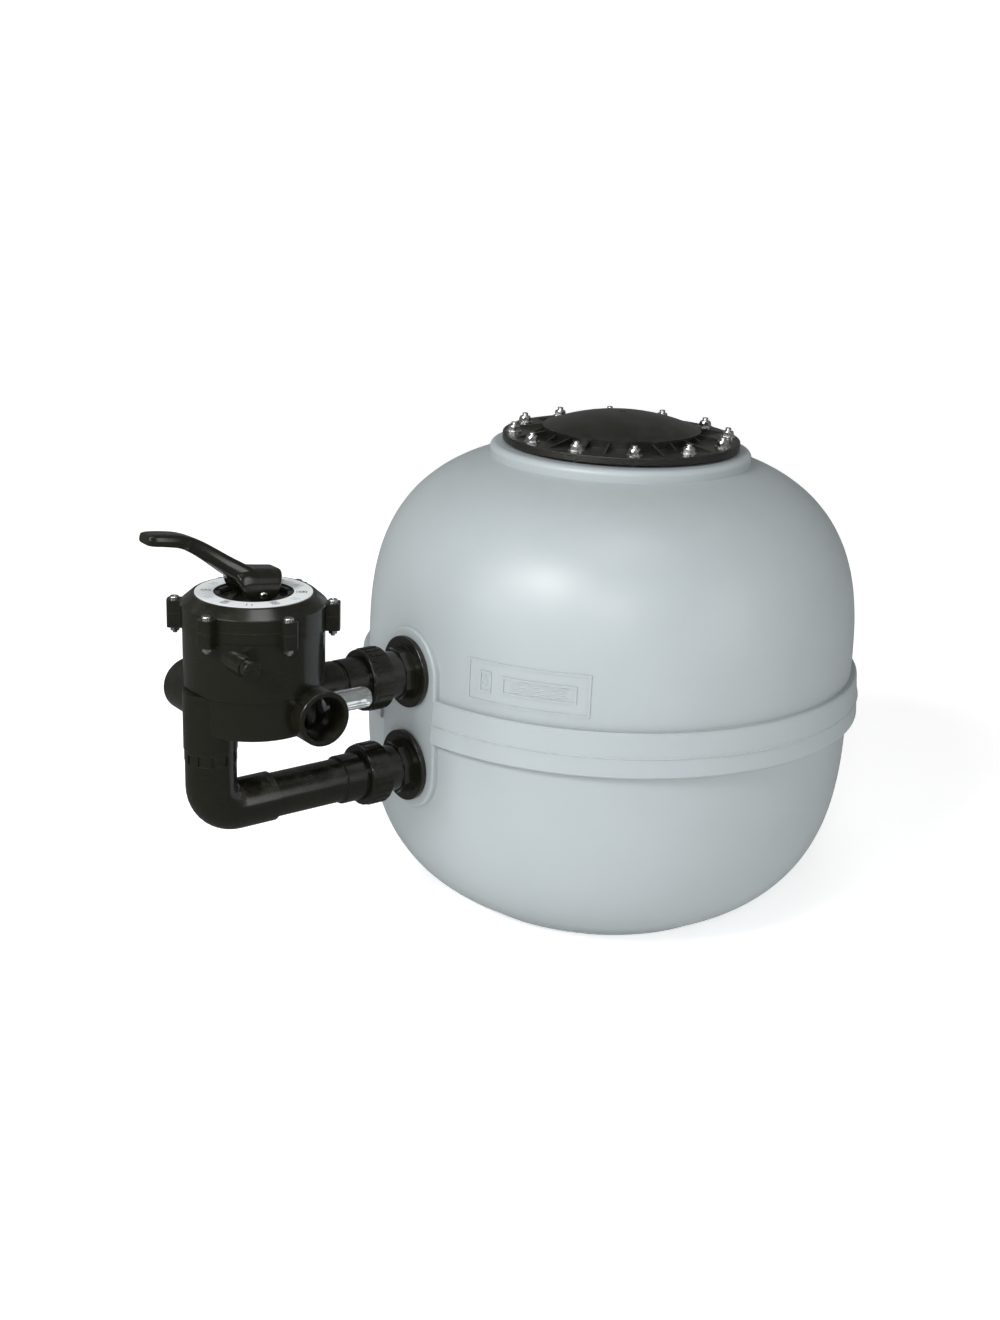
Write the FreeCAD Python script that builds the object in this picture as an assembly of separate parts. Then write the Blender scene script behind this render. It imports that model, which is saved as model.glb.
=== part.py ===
import FreeCAD, Part
import math
import os
from FreeCAD import Placement, Rotation, Vector

# Side-mount sand filter: a round moulded tank with a bolted lid, and a six-way
# selector valve hung on its side by two unions. Millimetres, +Z up. The origin is the
# centre of the tank's foot, on the floor. The valve stands towards -X, its waste port
# points to -Y, and its pump and return ports point to +Y.

# ---------------------------------------------------------------- driving sizes
# tank shell
TANK_R = 300.0            # outside radius of the wall at the belt
TANK_WALL = 8.0
LOWER_POWER = 2.95        # powers of the superellipses that the two halves follow
UPPER_POWER = 2.91
LOWER_Z = 256.6           # height where the lower half starts to draw in
LOWER_DROP = 274.6        # half height of the lower curve, cut off by the flat foot
UPPER_Z = 308.5           # height where the upper half starts to draw in
UPPER_RISE = 259.5
FOOT_EDGE_R = 6.0
BELT_PROUD_LOW = 11.3
BELT_PROUD_TOP = 7.5
BELT_EDGE = 2.0
PARTING_RISE = 23.4       # parting line above the belt's lower edge
PARTING_PROUD = 1.2
PARTING_HALF = 0.9
PARTING_DROP = 1.3        # belt's surface behind its lower edge, at the parting line

# plain frame, square and plaque raised on the front of the upper half
MARK_FACING = 31.9        # degrees from -X towards -Y
MARK_PROUD = 1.1
MARK_Z = 322.0
MARK_W = 144.0
MARK_H = 48.0
MARK_LINE = 2.1
SQUARE_W = 15.0
SQUARE_H = 24.0
SQUARE_SIDE = -50.0       # middle of the square beside the middle of the frame
PLAQUE_W = 86.0
PLAQUE_H = 20.0
PLAQUE_SIDE = 14.0

# neck and lid
LID_R = 143.3
LID_RIM = 8.7
LID_MARGIN = 14.7         # collar outside the lid
NECK_BORE_R = 104.0
COLLAR_RISE = 0.0         # collar's top above the top of the upper curve
COLLAR_SKIRT = 14.0       # collar's foot below the shell, inside the wall
COLLAR_ROUND = 7.0
LID_GASKET_T = 3.0
LID_GASKET_R = 121.0
DOME_R = 94.0
DOME_STEP = 10.0
DOME_RISE = 18.5
DOME_WALL = 6.0
SPIGOT_GAP = 2.0
SPIGOT_DEPTH = 10.0
SPIGOT_WALL = 6.0
STUD_COUNT = 12
STUD_CIRCLE_R = 130.0
STUD_R = 3.9
STUD_BURY = 18.0
STUD_PROUD = 12.0
STUD_START = 26.0         # degrees from -X towards -Y
RIB_T = 2.4
RIB_LONG = 42.0
RIB_SHORT = 17.0
M8_FLAT = 13.0
M8_NUT_H = 6.5
M8_WASHER_R = 9.5
M8_WASHER_T = 1.6

# pad and pipes on the valve side
UPPER_PORT_Z = 330.0
PORT_SPACING = 115.0
PAD_PROUD = 3.0
PAD_MARGIN = 10.0         # pad beyond the connector's flange
PAD_ROUND = 3.0
PAD_INNER_MARGIN = 2.0
PAD_THICK = 23.0
PIPE_R = 25.0
PIPE_WALL = 3.0
SOCKET_WALL = 2.8
SOCKET_DEPTH = 31.0
SOCKET_GAP = 0.1
THREAD_GAP = 0.2          # radial gap of a plain cylinder that stands for a thread
FACE_GAP = 0.02           # thinnest gap between a seal and a curved or cut face
O_RING_SQUEEZE = 0.3      # part of an O-ring's section that its mating face takes up
O_RING_GAP = 0.1

# tank connectors and unions; lengths run outwards from the pad's face
SEAL_T = 2.0
FLANGE_MARGIN = 17.0      # radii of the connector beyond the pipe's outside
FLANGE_T = 5.5
FLANGE_RING_MARGIN = 8.0
FLANGE_RING_T = 3.0
OCTAGON_MARGIN = 3.0
OCTAGON_T = 10.5
NECK_MARGIN = 2.0
NECK_T = 19.0
MALE_MARGIN = 6.0
MALE_T = 18.5
SHANK_MARGIN = 0.5
SHANK_GAP = 0.4
LOCKNUT_MARGIN = 11.0
LOCKNUT_T = 12.0
SHANK_OVER = 8.0          # shank beyond its locknut
UNION_NUT_WALL = 4.2
UNION_NUT_L = 27.0
UNION_RIBS = 24
UNION_RIB_H = 1.0
UNION_LIP = 4.0
UNION_GAP = 0.4
TAIL_FLANGE_T = 5.0
UNION_RING_MARGIN = 0.5
UNION_RING_SECTION = 1.8

# riser from the lower run up to the valve
RISER_INSET = 22.0        # riser axis inside the valve body's outside radius
ELBOW_BEND_MARGIN = 1.2   # bend's radius beyond the elbow's outside
ELBOW_STRAIGHT = 11.0     # level leg between the bend and the pipe's end
ELBOW_STOP = 2.0
NOTCH_RING_H = 14.0
NOTCH_COUNT = 12
BOSS_DROP = 42.4          # valve's riser boss below the port axis
BOSS_WALL = 4.3
BOSS_THREAD_L = 29.0

# valve body; heights run from the port axis
NIPPLE_GAP = 6.0
TANK_STUB = 27.0
BODY_MARGIN = 11.6        # body's outside beyond the side ports
BODY_WALL = 5.0
BODY_STEP = 4.0           # lower half draws in by this much
PORT_BORE_CUT = 4.0       # port bore is this much smaller than the pipe
PORT_WALL = 5.3
PORT_SIDE_GAP = 3.6       # side ports' walls from the valve's middle plane
PORT_START = 20.0
FLOOR_T = 5.0
WEB_T = 4.0
HUB_R = 13.0
DECK_T = 4.0
WINDOW_IN = 22.0
WINDOW_EDGE = 5.0
WINDOW_LEDGE = 2.0
WEB_START = 30.0          # degrees from -X to the first web
SEAM_RISE = 73.5          # cover seam above the deck's underside
BODY_RIM_H = 12.5
BODY_RIM_PROUD = 2.0
LUG_COUNT = 6
LUG_START = 26.0          # degrees from -X towards -Y
LUG_W = 17.0
LUG_OUT = 16.0
LUG_H_LOW = 16.0
LUG_H_TOP = 14.0
LUG_CORNER = 4.0
SCREW_OUT = 8.0
SCREW_R = 2.5
SCREW_HEAD_R = 5.2
SCREW_HEAD_H = 3.6
SCREW_NUT_FLAT = 9.0
SCREW_NUT_H = 4.5

# valve cover and its well
CONE_IN = 12.0
COVER_H = 23.9
COVER_PLATE = 6.0
COVER_O_R = 1.6
WELL_R = 36.0
WELL_DEPTH = 7.4
NOTCH_RIM_R = 42.4
NOTCH_RIM_DROP = 1.2
LABEL_IN = 42.8
LABEL_OUT = 62.6
LABEL_T = 0.5

# rotor, spring and handle
SPIDER_T = 2.5
ROTOR_SIDE_GAP = 1.0
ROTOR_FACE_GAP = 0.3
ROTOR_LIFT = 3.0
ROTOR_PLATE = 6.0
ROTOR_HOOD_H = 16.0
ROTOR_HUB_R = 31.0
STEM_R = 12.0
STEM_GAP = 0.3
STEM_RING_SECTION = 1.1
STEM_RING_INSET = 0.2     # stem's ring above the lower edge of the cover's bore
SPRING_R = 23.0
SPRING_WIRE_R = 2.2
SPRING_TURNS = 5
SPRING_SEAT_RISE = 32.0
SPRING_WASHER_T = 1.5
SLIP_WASHER_T = 1.0
SLIP_WASHER_R = 33.5
PIN_R = 4.0
PIN_GAP = 0.1
PIN_RISE = 7.0            # pin axis above the slip washer
FORK_HALF = 21.0
FORK_SLOT = 11.3
STEM_FLAT = 10.8          # half the stem's thickness between the cheeks of the handle
STEM_FLAT_DROP = 2.5      # flats reach this far into the cover when the handle is up
STEM_OVER = 8.0           # stem above the pin's axis
HEEL = 9.4                # flat heel either side of the pin's axis
HEEL_GAP = 0.3
HANDLE_REACH = 126.0
HANDLE_RISE = 72.0
# arm's sections: share of the reach, share of the rise, lean in degrees, thickness, width, corner
ARM_ROOT = (6.0, 14.0, 42.0, 22.0, 38.0, 6.0)
ARM_SECTIONS = (
    (0.27, 0.46, 40.0, 20.0, 30.0, 6.0),
    (0.46, 0.68, 34.0, 17.0, 22.0, 6.0),
    (0.62, 0.84, 24.0, 14.5, 21.0, 5.5),
    (0.78, 0.94, 13.0, 13.0, 25.0, 5.5),
    (0.92, 0.99, 6.0, 12.0, 28.0, 5.0),
    (1.0, 1.0, 4.0, 10.0, 26.0, 4.5),
)
# cheeks' outline above the heel: from the pin towards -X, and above the pin
CHEEK = (
    (27.0, 17.0), (30.0, 30.0), (18.0, 34.0), (2.0, 27.5), (-24.0, 21.0), (-26.5, 17.0), (-25.0, 1.0),
)
HEEL_RISE = 7.5           # cheeks' toe above the heel
HEEL_RUN = 7.0
SLOT_SIDE = 4.5           # fork's slot beyond the stem
SLOT_FRONT = 6.0          # and further, on the arm's side
SLOT_ROOF = 15.0          # slot's roof above the pin's axis

# sight glass, gauge plug and drain
GLASS_R = 11.75
GLASS_WALL = 2.0
GLASS_L = 48.0
GLASS_SIDE_GAP = 6.053    # sight glass clear of the valve body
GLASS_SPIGOT_R = 9.0
GLASS_BOSS_L = 2.0        # boss for the glass, beyond the waste port's outside
GLASS_BOSS_MARGIN = 3.0
GLASS_SPIGOT_L = 8.0
GAUGE_SIDE = 52.0         # gauge boss towards -X of the valve's axis
GAUGE_DROP = 30.5         # gauge boss below the cover seam
GAUGE_BOSS_R = 11.0
GAUGE_MARGIN = 4.0        # gauge boss beyond the body's outside
GAUGE_SHANK_L = 18.0
GAUGE_SHANK_R = 6.3
GAUGE_HEAD_R = 9.8
GAUGE_HEAD_L = 9.5
DRAIN_Z = 50.0
DRAIN_BOSS_R = 24.0
DRAIN_BORE_R = 13.0
DRAIN_REACH = 14.0
DRAIN_HEAD_R = 19.0
DRAIN_HEAD_L = 13.0
DRAIN_FLANGE_T = 4.0
DRAIN_GRIP_FLAT = 29.0
DRAIN_SHANK_L = 30.0

# inner pipework
INNER_PIPE_R = 20.0
INNER_PIPE_WALL = 2.5
INNER_SOCKET_WALL = 3.0
INNER_PLUG_L = 17.0
INNER_LEG = 42.0
DIFFUSER_A = 133.0        # inner riser axis inside the pad's face
DIFFUSER_Z = 470.0
DIFFUSER_H = 42.0
DIFFUSER_R = 46.0
DIFFUSER_WALL = 3.0
LATERAL_Z = 62.0
LATERAL_COUNT = 8
LATERAL_R = 11.0
LATERAL_WALL = 2.0
LATERAL_CLEAR = 38.0
LATERAL_SLOTS = 12
SLOT_W = 1.2
COLLECTOR_R = 42.0
COLLECTOR_H = 46.0

# ---------------------------------------------------------------- derived places
UP = Vector(0, 0, 1)
OUT = Vector(-1, 0, 0)    # from the tank towards the valve
FRONT = Vector(0, -1, 0)
BACK = Vector(0, 1, 0)
BACKWARD = Vector(1, 0, 0)    # from the valve's side through the tank
ORIGIN = Vector(0, 0, 0)

LOWER_PORT_Z = UPPER_PORT_Z - PORT_SPACING
COLLAR_TOP_Z = UPPER_Z + UPPER_RISE + COLLAR_RISE
PAD_A = TANK_R + PAD_PROUD
FLANGE_R = PIPE_R + FLANGE_MARGIN
FLANGE_RING_R = PIPE_R + FLANGE_RING_MARGIN
PAD_R = FLANGE_R + PAD_MARGIN
PAD_INNER_R = FLANGE_R + PAD_INNER_MARGIN
OCTAGON_FLAT = 2.0 * (PIPE_R + OCTAGON_MARGIN)
LOCKNUT_FLAT = 2.0 * (PIPE_R + LOCKNUT_MARGIN)
NECK_R = PIPE_R + NECK_MARGIN
MALE_R = PIPE_R + MALE_MARGIN
SHANK_R = PIPE_R + SHANK_MARGIN
UNION_NUT_R = MALE_R + UNION_NUT_WALL
UNION_RING_R = PIPE_R + UNION_RING_MARGIN
SOCKET_R = PIPE_R + SOCKET_WALL
SOCKET_BORE_R = PIPE_R + SOCKET_GAP
PORT_BORE_R = PIPE_R - PORT_BORE_CUT
PORT_R = SOCKET_BORE_R + PORT_WALL
PORT_OFFSET = PORT_R + PORT_SIDE_GAP
BODY_R = PORT_OFFSET + PORT_R + BODY_MARGIN
ELBOW_BEND_R = SOCKET_R + ELBOW_BEND_MARGIN
ELBOW_LEG = ELBOW_BEND_R + ELBOW_STRAIGHT + SOCKET_DEPTH
INNER_BORE_R = INNER_PIPE_R + SOCKET_GAP
FLANGE_W = SEAL_T + FLANGE_T
OCTAGON_W = FLANGE_W + FLANGE_RING_T
NECK_W = OCTAGON_W + OCTAGON_T
MALE_W = NECK_W + NECK_T
FACE_W = MALE_W + MALE_T
SHANK_W = PAD_THICK + SEAL_T + LOCKNUT_T + SHANK_OVER
TAIL_W = FACE_W + SOCKET_GAP
TAIL_STOP_W = TAIL_W + TAIL_FLANGE_T + 1.0
TAIL_END_W = TAIL_STOP_W + SOCKET_DEPTH
NUT_END_W = MALE_W + UNION_NUT_L + 1.5
VALVE_SOCKET_A = PAD_A + TAIL_END_W + NIPPLE_GAP
BODY_LOW_R = BODY_R - BODY_STEP
CAVITY_R = BODY_R - BODY_WALL
CHAMBER_R = BODY_LOW_R - BODY_WALL
COVER_RING_R = (CAVITY_R + BODY_R + BODY_RIM_PROUD) / 2.0
VALVE_A = VALVE_SOCKET_A + TANK_STUB + BODY_LOW_R
VALVE_X = -VALVE_A
RISER_A = VALVE_A + BODY_R - RISER_INSET
BODY_BOTTOM_Z = UPPER_PORT_Z - PORT_BORE_R - 2.0
DECK_Z = UPPER_PORT_Z + PORT_BORE_R + 5.0
DECK_TOP_Z = DECK_Z + DECK_T
SEAM_Z = DECK_Z + SEAM_RISE
COVER_TOP_Z = SEAM_Z + COVER_H
WELL_Z = COVER_TOP_Z - WELL_DEPTH
COVER_UNDER_Z = WELL_Z - COVER_PLATE
BOSS_BOTTOM_Z = UPPER_PORT_Z - BOSS_DROP
BOSS_R = PIPE_R - 0.3 + BOSS_WALL
ELBOW_TOP_Z = BOSS_BOTTOM_Z - NOTCH_RING_H - SOCKET_GAP
RISER_DEPTH = ELBOW_TOP_Z - LOWER_PORT_Z - ELBOW_BEND_R - ELBOW_STOP
ROTOR_Z = DECK_TOP_Z + SPIDER_T + ROTOR_FACE_GAP
SPRING_SEAT_Z = ROTOR_Z + SPRING_SEAT_RISE
SLIP_TOP_Z = WELL_Z + SLIP_WASHER_T
PIN_Z = SLIP_TOP_Z + PIN_RISE
STEM_RING_Z = COVER_UNDER_Z + STEM_RING_SECTION + STEM_RING_INSET
LID_BOTTOM_Z = COLLAR_TOP_Z + LID_GASKET_T
RIM_TOP_Z = LID_BOTTOM_Z + LID_RIM
COLLAR_R = LID_R + LID_MARGIN
BOLT_R = BODY_R + SCREW_OUT
GAUGE_Z = SEAM_Z - GAUGE_DROP
GLASS_A = VALVE_A - PORT_OFFSET - PORT_R
GLASS_FLANK = math.sqrt(BODY_LOW_R ** 2 - (PORT_OFFSET + PORT_R) ** 2)
GLASS_Q = GLASS_FLANK + GLASS_R + GLASS_SIDE_GAP    # middle of the sight glass from the valve's axis
PORT_REACH = GLASS_Q + GLASS_SPIGOT_R + SOCKET_DEPTH
GAUGE_REACH = BODY_R + GAUGE_MARGIN


# ---------------------------------------------------------------- helpers
def spot(a, q, z):
    """A point a towards the valve from the tank's axis, q to the front and z up."""
    return Vector(-a, -q, z)


def turned(angle, radius, z, centre_a=0.0):
    """A point on a circle round a vertical axis, by degrees from -X towards -Y."""
    t = math.radians(angle)
    return spot(centre_a + radius * math.cos(t), radius * math.sin(t), z)


def cylinder(r, length, base, way=UP):
    return Part.makeCylinder(r, length, base, way)


def tube(r_out, r_in, length, base, way=UP):
    return cylinder(r_out, length, base, way).cut(cylinder(r_in, length, base, way))


def fused(shapes):
    return shapes[0].multiFuse(shapes[1:]).removeSplitter()


def minus(shape, tools):
    return shape.cut(tools)


def spun(edges_or_points, centre=ORIGIN):
    """Solid of revolution about a vertical axis, from edges or (radius, z) points."""
    if isinstance(edges_or_points[0], tuple):
        points = [Vector(r, 0, z) for r, z in edges_or_points]
        wire = Part.makePolygon(points + [points[0]])
    else:
        wire = Part.Wire(edges_or_points)
    solid = Part.Face(wire).revolve(ORIGIN, UP, 360)
    solid.translate(centre)
    return solid


def regular(flat, sides, length, base, way=UP):
    """Upright prism with a regular outline, given across its flats."""
    r = flat / 2.0 / math.cos(math.pi / sides)
    corners = []
    for i in range(sides):
        t = 2.0 * math.pi * (i + 0.5) / sides
        corners.append(Vector(r * math.cos(t), r * math.sin(t), 0))
    solid = Part.Face(Part.makePolygon(corners + [corners[0]])).extrude(Vector(0, 0, length))
    solid.Placement = Placement(base, Rotation(UP, way))
    return solid


def spread(shape, count, centre, start=0.0):
    """Copies of a shape round a vertical axis; the first one is turned by start."""
    copies = []
    for i in range(count):
        one = shape.copy()
        one.rotate(centre, UP, start + 360.0 * i / count)
        copies.append(one)
    return copies


def line(p, q):
    return Part.LineSegment(p, q).toShape()


def arc(p, middle, q):
    return Part.Arc(p, middle, q).toShape()


def ring(major, minor, base, way=UP):
    return Part.makeTorus(major, minor, base, way)


def valve_at(z):
    return Vector(VALVE_X, 0, z)


# ---------------------------------------------------------------- tank shell
def shell_radius(z, inset=0.0):
    """Radius of the shell at a height, or of the surface that lies inset inside it."""
    r = TANK_R - inset
    if z > UPPER_Z:
        share = (z - UPPER_Z) / (UPPER_RISE - inset)
        power = UPPER_POWER
    elif z < LOWER_Z:
        share = (LOWER_Z - z) / (LOWER_DROP - inset)
        power = LOWER_POWER
    else:
        return r
    return r * (1.0 - share ** power) ** (1.0 / power)


def shell_height(r, inset=0.0):
    """Height at which the upper half has the given radius."""
    share = 1.0 - (r / (TANK_R - inset)) ** UPPER_POWER
    return UPPER_Z + (UPPER_RISE - inset) * share ** (1.0 / UPPER_POWER)


def shell_curve(z_start, z_end, inset, steps=9):
    """Smooth profile edge between two heights, closer set where it turns fastest."""
    points = []
    for i in range(steps + 1):
        share = math.sin(0.5 * math.pi * i / steps)
        z = z_start + (z_end - z_start) * share
        points.append(Vector(shell_radius(z, inset), 0, z))
    curve = Part.BSplineCurve()
    curve.interpolate(points)
    return curve.toShape()


def corner_path(points):
    return [line(points[i], points[i + 1]) for i in range(len(points) - 1)]


def shell_solid(extra, with_belt):
    """The closed outer form of the tank, grown by extra, with or without its belt."""
    foot_r = shell_radius(FOOT_EDGE_R, -extra)
    shoulder_z = shell_height(COLLAR_R - 3.0, -extra)
    low = shell_curve(LOWER_Z, FOOT_EDGE_R, -extra)
    high = shell_curve(UPPER_Z, shoulder_z, -extra)
    wall = TANK_R + extra
    parting_z = LOWER_Z + PARTING_RISE
    if with_belt:
        low_r = TANK_R + BELT_PROUD_LOW
        top_r = TANK_R + BELT_PROUD_TOP
        mid_r = low_r - PARTING_DROP
        belt = [(wall, LOWER_Z), (low_r - BELT_EDGE, LOWER_Z), (low_r, LOWER_Z + BELT_EDGE)]
        belt += [(mid_r, parting_z - PARTING_HALF), (mid_r + PARTING_PROUD, parting_z)]
        belt += [(mid_r, parting_z + PARTING_HALF), (top_r, UPPER_Z - BELT_EDGE)]
        belt += [(top_r - BELT_EDGE, UPPER_Z), (wall, UPPER_Z)]
    else:
        belt = [(wall, LOWER_Z), (wall, UPPER_Z)]
    foot = Vector(foot_r - FOOT_EDGE_R, 0, 0)
    bend = Vector(foot_r - 0.3 * FOOT_EDGE_R, 0, 0.3 * FOOT_EDGE_R)
    edges = [line(ORIGIN, foot), arc(foot, bend, Vector(foot_r, 0, FOOT_EDGE_R)), low]
    edges += corner_path([Vector(r, 0, z) for r, z in belt])
    edges.append(high)
    rim = Vector(COLLAR_R - 3.0, 0, shoulder_z)
    edges += corner_path([rim, Vector(0, 0, shoulder_z), ORIGIN])
    return spun(edges)


def hollow_solid():
    """The free space inside the shell."""
    top_z = shell_height(NECK_BORE_R, TANK_WALL)
    floor = Vector(shell_radius(TANK_WALL, TANK_WALL), 0, TANK_WALL)
    low = shell_curve(LOWER_Z, TANK_WALL, TANK_WALL)
    high = shell_curve(UPPER_Z, top_z, TANK_WALL)
    wall = TANK_R - TANK_WALL
    edges = [line(Vector(0, 0, TANK_WALL), floor), low]
    edges.append(line(Vector(wall, 0, LOWER_Z), Vector(wall, 0, UPPER_Z)))
    edges.append(high)
    brim = Vector(NECK_BORE_R, 0, top_z)
    top = COLLAR_TOP_Z + 5.0
    path = [brim, Vector(NECK_BORE_R, 0, top), Vector(0, 0, top), Vector(0, 0, TANK_WALL)]
    return spun(edges + corner_path(path))


def collar_solid():
    base_z = shell_height(COLLAR_R) - COLLAR_SKIRT
    solid = cylinder(COLLAR_R, COLLAR_TOP_Z - base_z, Vector(0, 0, base_z))
    top = [e for e in solid.Edges if e.BoundBox.ZMin > COLLAR_TOP_Z - 0.1]
    return solid.makeFillet(COLLAR_ROUND, top)


def stadium(radius, a_start, a_end):
    """Slab with round ends about both ports, between two distances from the axis."""
    length = a_end - a_start
    ends = [cylinder(radius, length, spot(a_start, 0, z), OUT) for z in (UPPER_PORT_Z, LOWER_PORT_Z)]
    corner = Vector(-a_end, -radius, LOWER_PORT_Z)
    middle = Part.makeBox(length, 2.0 * radius, PORT_SPACING, corner)
    return fused(ends + [middle])


def pad_solid():
    solid = stadium(PAD_R, TANK_R - TANK_WALL - 6.0, PAD_A)
    outer = [e for e in solid.Edges if e.BoundBox.XMax < -PAD_A + 0.1]
    return solid.makeFillet(PAD_ROUND, outer)


def wall_frame(side, width, height):
    """Rectangular outline on the front of the wall, as bars that cross the wall."""
    middle_z = MARK_Z + MARK_H / 2.0
    depth = TANK_R / 5.0
    bars = []
    for edge in (0.0, MARK_LINE):
        w = width - 2.0 * edge
        h = height - 2.0 * edge
        corner = Vector(-TANK_R - depth / 3.0, -side - w / 2.0, middle_z - h / 2.0)
        bars.append(Part.makeBox(depth, w, h, corner))
    outline = bars[0].cut(bars[1])
    outline.rotate(ORIGIN, UP, MARK_FACING)
    return outline


def moulded_marks():
    """Raised plain frame, square and plaque on the front of the upper half."""
    marks = [wall_frame(0.0, MARK_W, MARK_H)]
    marks.append(wall_frame(SQUARE_SIDE, SQUARE_W, SQUARE_H))
    marks.append(wall_frame(PLAQUE_SIDE, PLAQUE_W, PLAQUE_H))
    skin = shell_solid(MARK_PROUD, False).cut(shell_solid(-0.25 * TANK_WALL, False))
    return fused(marks).common(skin)


def drain_face_x():
    return shell_radius(DRAIN_Z) + DRAIN_REACH


def whole_tank():
    """Both welded shells in one, with the pad, the drain boss and every hole."""
    outer = fused([shell_solid(0.0, True), collar_solid()])
    outer = outer.cut(stadium(PAD_R, PAD_A, PAD_A + 2.0 * BELT_PROUD_LOW))
    drain_end = drain_face_x()
    drain_base = Vector(drain_end - DRAIN_REACH - DRAIN_SHANK_L, 0, DRAIN_Z)
    drain = cylinder(DRAIN_BOSS_R, drain_end - drain_base.x, drain_base, BACKWARD)
    body = fused([outer, pad_solid(), drain]).cut(hollow_solid())
    inner_pad = stadium(PAD_INNER_R, PAD_A - PAD_THICK, TANK_R - TANK_WALL / 2.0)
    body = fused([body, inner_pad, moulded_marks()])
    cuts = [cylinder(DRAIN_BOSS_R, DRAIN_HEAD_L, Vector(drain_end, 0, DRAIN_Z), BACKWARD)]
    inside = PAD_A - 2.0 * PAD_THICK
    for z in (UPPER_PORT_Z, LOWER_PORT_Z):
        cuts.append(cylinder(SHANK_R + SHANK_GAP, PAD_A - inside + 20.0, spot(inside, 0, z), OUT))
    cuts.append(cylinder(DRAIN_BORE_R, 3.0 * DRAIN_BOSS_R, drain_base - BACKWARD * DRAIN_BORE_R, BACKWARD))
    hole = cylinder(STUD_R + 0.1, STUD_BURY + 5.0, turned(0, STUD_CIRCLE_R, COLLAR_TOP_Z - STUD_BURY))
    cuts += spread(hole, STUD_COUNT, ORIGIN, STUD_START)
    return minus(body, cuts)


def tank_shell(upper):
    """One of the two moulded shells, which meet at the parting line on the belt."""
    seam_z = LOWER_Z + PARTING_RISE
    side = 4.0 * TANK_R
    height = 2.0 * (UPPER_RISE + LOWER_DROP)
    low_z = seam_z if upper else seam_z - height
    half = Part.makeBox(side, side, height, Vector(-side / 2.0, -side / 2.0, low_z))
    return whole_tank().common(half)


# ---------------------------------------------------------------- lid and its fixings
def dome_radius(rise, radius):
    return (radius * radius + rise * rise) / (2.0 * rise)


def dome_profile(radius, base_z, rise, floor_z):
    """Closed profile of a capped plug: a wall up to the dome and its round top."""
    big = dome_radius(rise, radius)
    half = radius / 2.0
    mid_z = base_z + rise - big + math.sqrt(big * big - half * half)
    cap = arc(Vector(radius, 0, base_z), Vector(half, 0, mid_z), Vector(0, 0, base_z + rise))
    path = [Vector(0, 0, base_z + rise), Vector(0, 0, floor_z), Vector(radius, 0, floor_z)]
    return [cap] + corner_path(path + [Vector(radius, 0, base_z)])


def lid():
    step_z = RIM_TOP_Z + DOME_STEP
    rim = cylinder(LID_R, LID_RIM, Vector(0, 0, LID_BOTTOM_Z))
    edges = [e for e in rim.Edges if len(e.Vertexes) == 1]
    rim = rim.makeFillet(1.2, edges)
    spigot_r = NECK_BORE_R - SPIGOT_GAP
    spigot = cylinder(spigot_r, SPIGOT_DEPTH + 2.0, Vector(0, 0, LID_BOTTOM_Z - SPIGOT_DEPTH))
    dome = spun(dome_profile(DOME_R, step_z, DOME_RISE, LID_BOTTOM_Z))
    brim = cylinder(DOME_R + 1.6, 2.4, Vector(0, 0, step_z - 2.4))
    shape = [rim, spigot, dome, brim]
    height = DOME_STEP - 2.6
    for reach, start in ((RIB_LONG, STUD_START + 15.0), (RIB_SHORT, STUD_START)):
        inner = DOME_R - 3.0
        corners = [Vector(-inner, -RIB_T / 2.0, RIM_TOP_Z - 1.0)]
        corners.append(Vector(-inner, -RIB_T / 2.0, RIM_TOP_Z + height))
        corners.append(Vector(-inner - 4.0, -RIB_T / 2.0, RIM_TOP_Z + height))
        corners.append(Vector(-inner - reach, -RIB_T / 2.0, RIM_TOP_Z + 0.6))
        corners.append(Vector(-inner - reach, -RIB_T / 2.0, RIM_TOP_Z - 1.0))
        rib = Part.Face(Part.makePolygon(corners + [corners[0]])).extrude(Vector(0, RIB_T, 0))
        shape += spread(rib, STUD_COUNT, ORIGIN, start)
    solid = fused(shape)
    inner_r = spigot_r - SPIGOT_WALL
    inner = min(inner_r, DOME_R - DOME_WALL)
    hollow = spun(dome_profile(inner, step_z - DOME_WALL, DOME_RISE, LID_BOTTOM_Z - SPIGOT_DEPTH - 1.0))
    hole = cylinder(STUD_R + 0.6, LID_RIM + 4.0, turned(0, STUD_CIRCLE_R, LID_BOTTOM_Z - 2.0))
    dimple = cylinder(4.0, 4.0, Vector(0, 0, step_z + DOME_RISE - 1.2))
    return minus(solid, [hollow, dimple] + spread(hole, STUD_COUNT, ORIGIN, STUD_START))


def lid_gasket():
    return tube(LID_GASKET_R, NECK_BORE_R + 2.0, LID_GASKET_T, Vector(0, 0, COLLAR_TOP_Z))


def lid_studs():
    low = COLLAR_TOP_Z - STUD_BURY
    high = RIM_TOP_Z + STUD_PROUD
    stud = cylinder(STUD_R, high - low, turned(0, STUD_CIRCLE_R, low))
    stud = stud.makeChamfer(0.8, [e for e in stud.Edges if e.BoundBox.ZMin > high - 0.1])
    return Part.makeCompound(spread(stud, STUD_COUNT, ORIGIN, STUD_START))


def lid_washers():
    washer = tube(M8_WASHER_R, STUD_R + 0.4, M8_WASHER_T, turned(0, STUD_CIRCLE_R, RIM_TOP_Z))
    return Part.makeCompound(spread(washer, STUD_COUNT, ORIGIN, STUD_START))


def hex_nut(flat, height, bore_r, base):
    """Hex nut with its corners turned off at the top."""
    nut = regular(flat, 6, height, base)
    crown = Part.makeCone(flat / 2.0 + 2.6, flat / 2.0 - 0.4, height, base)
    return nut.common(crown).cut(cylinder(bore_r, height, base))


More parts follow.
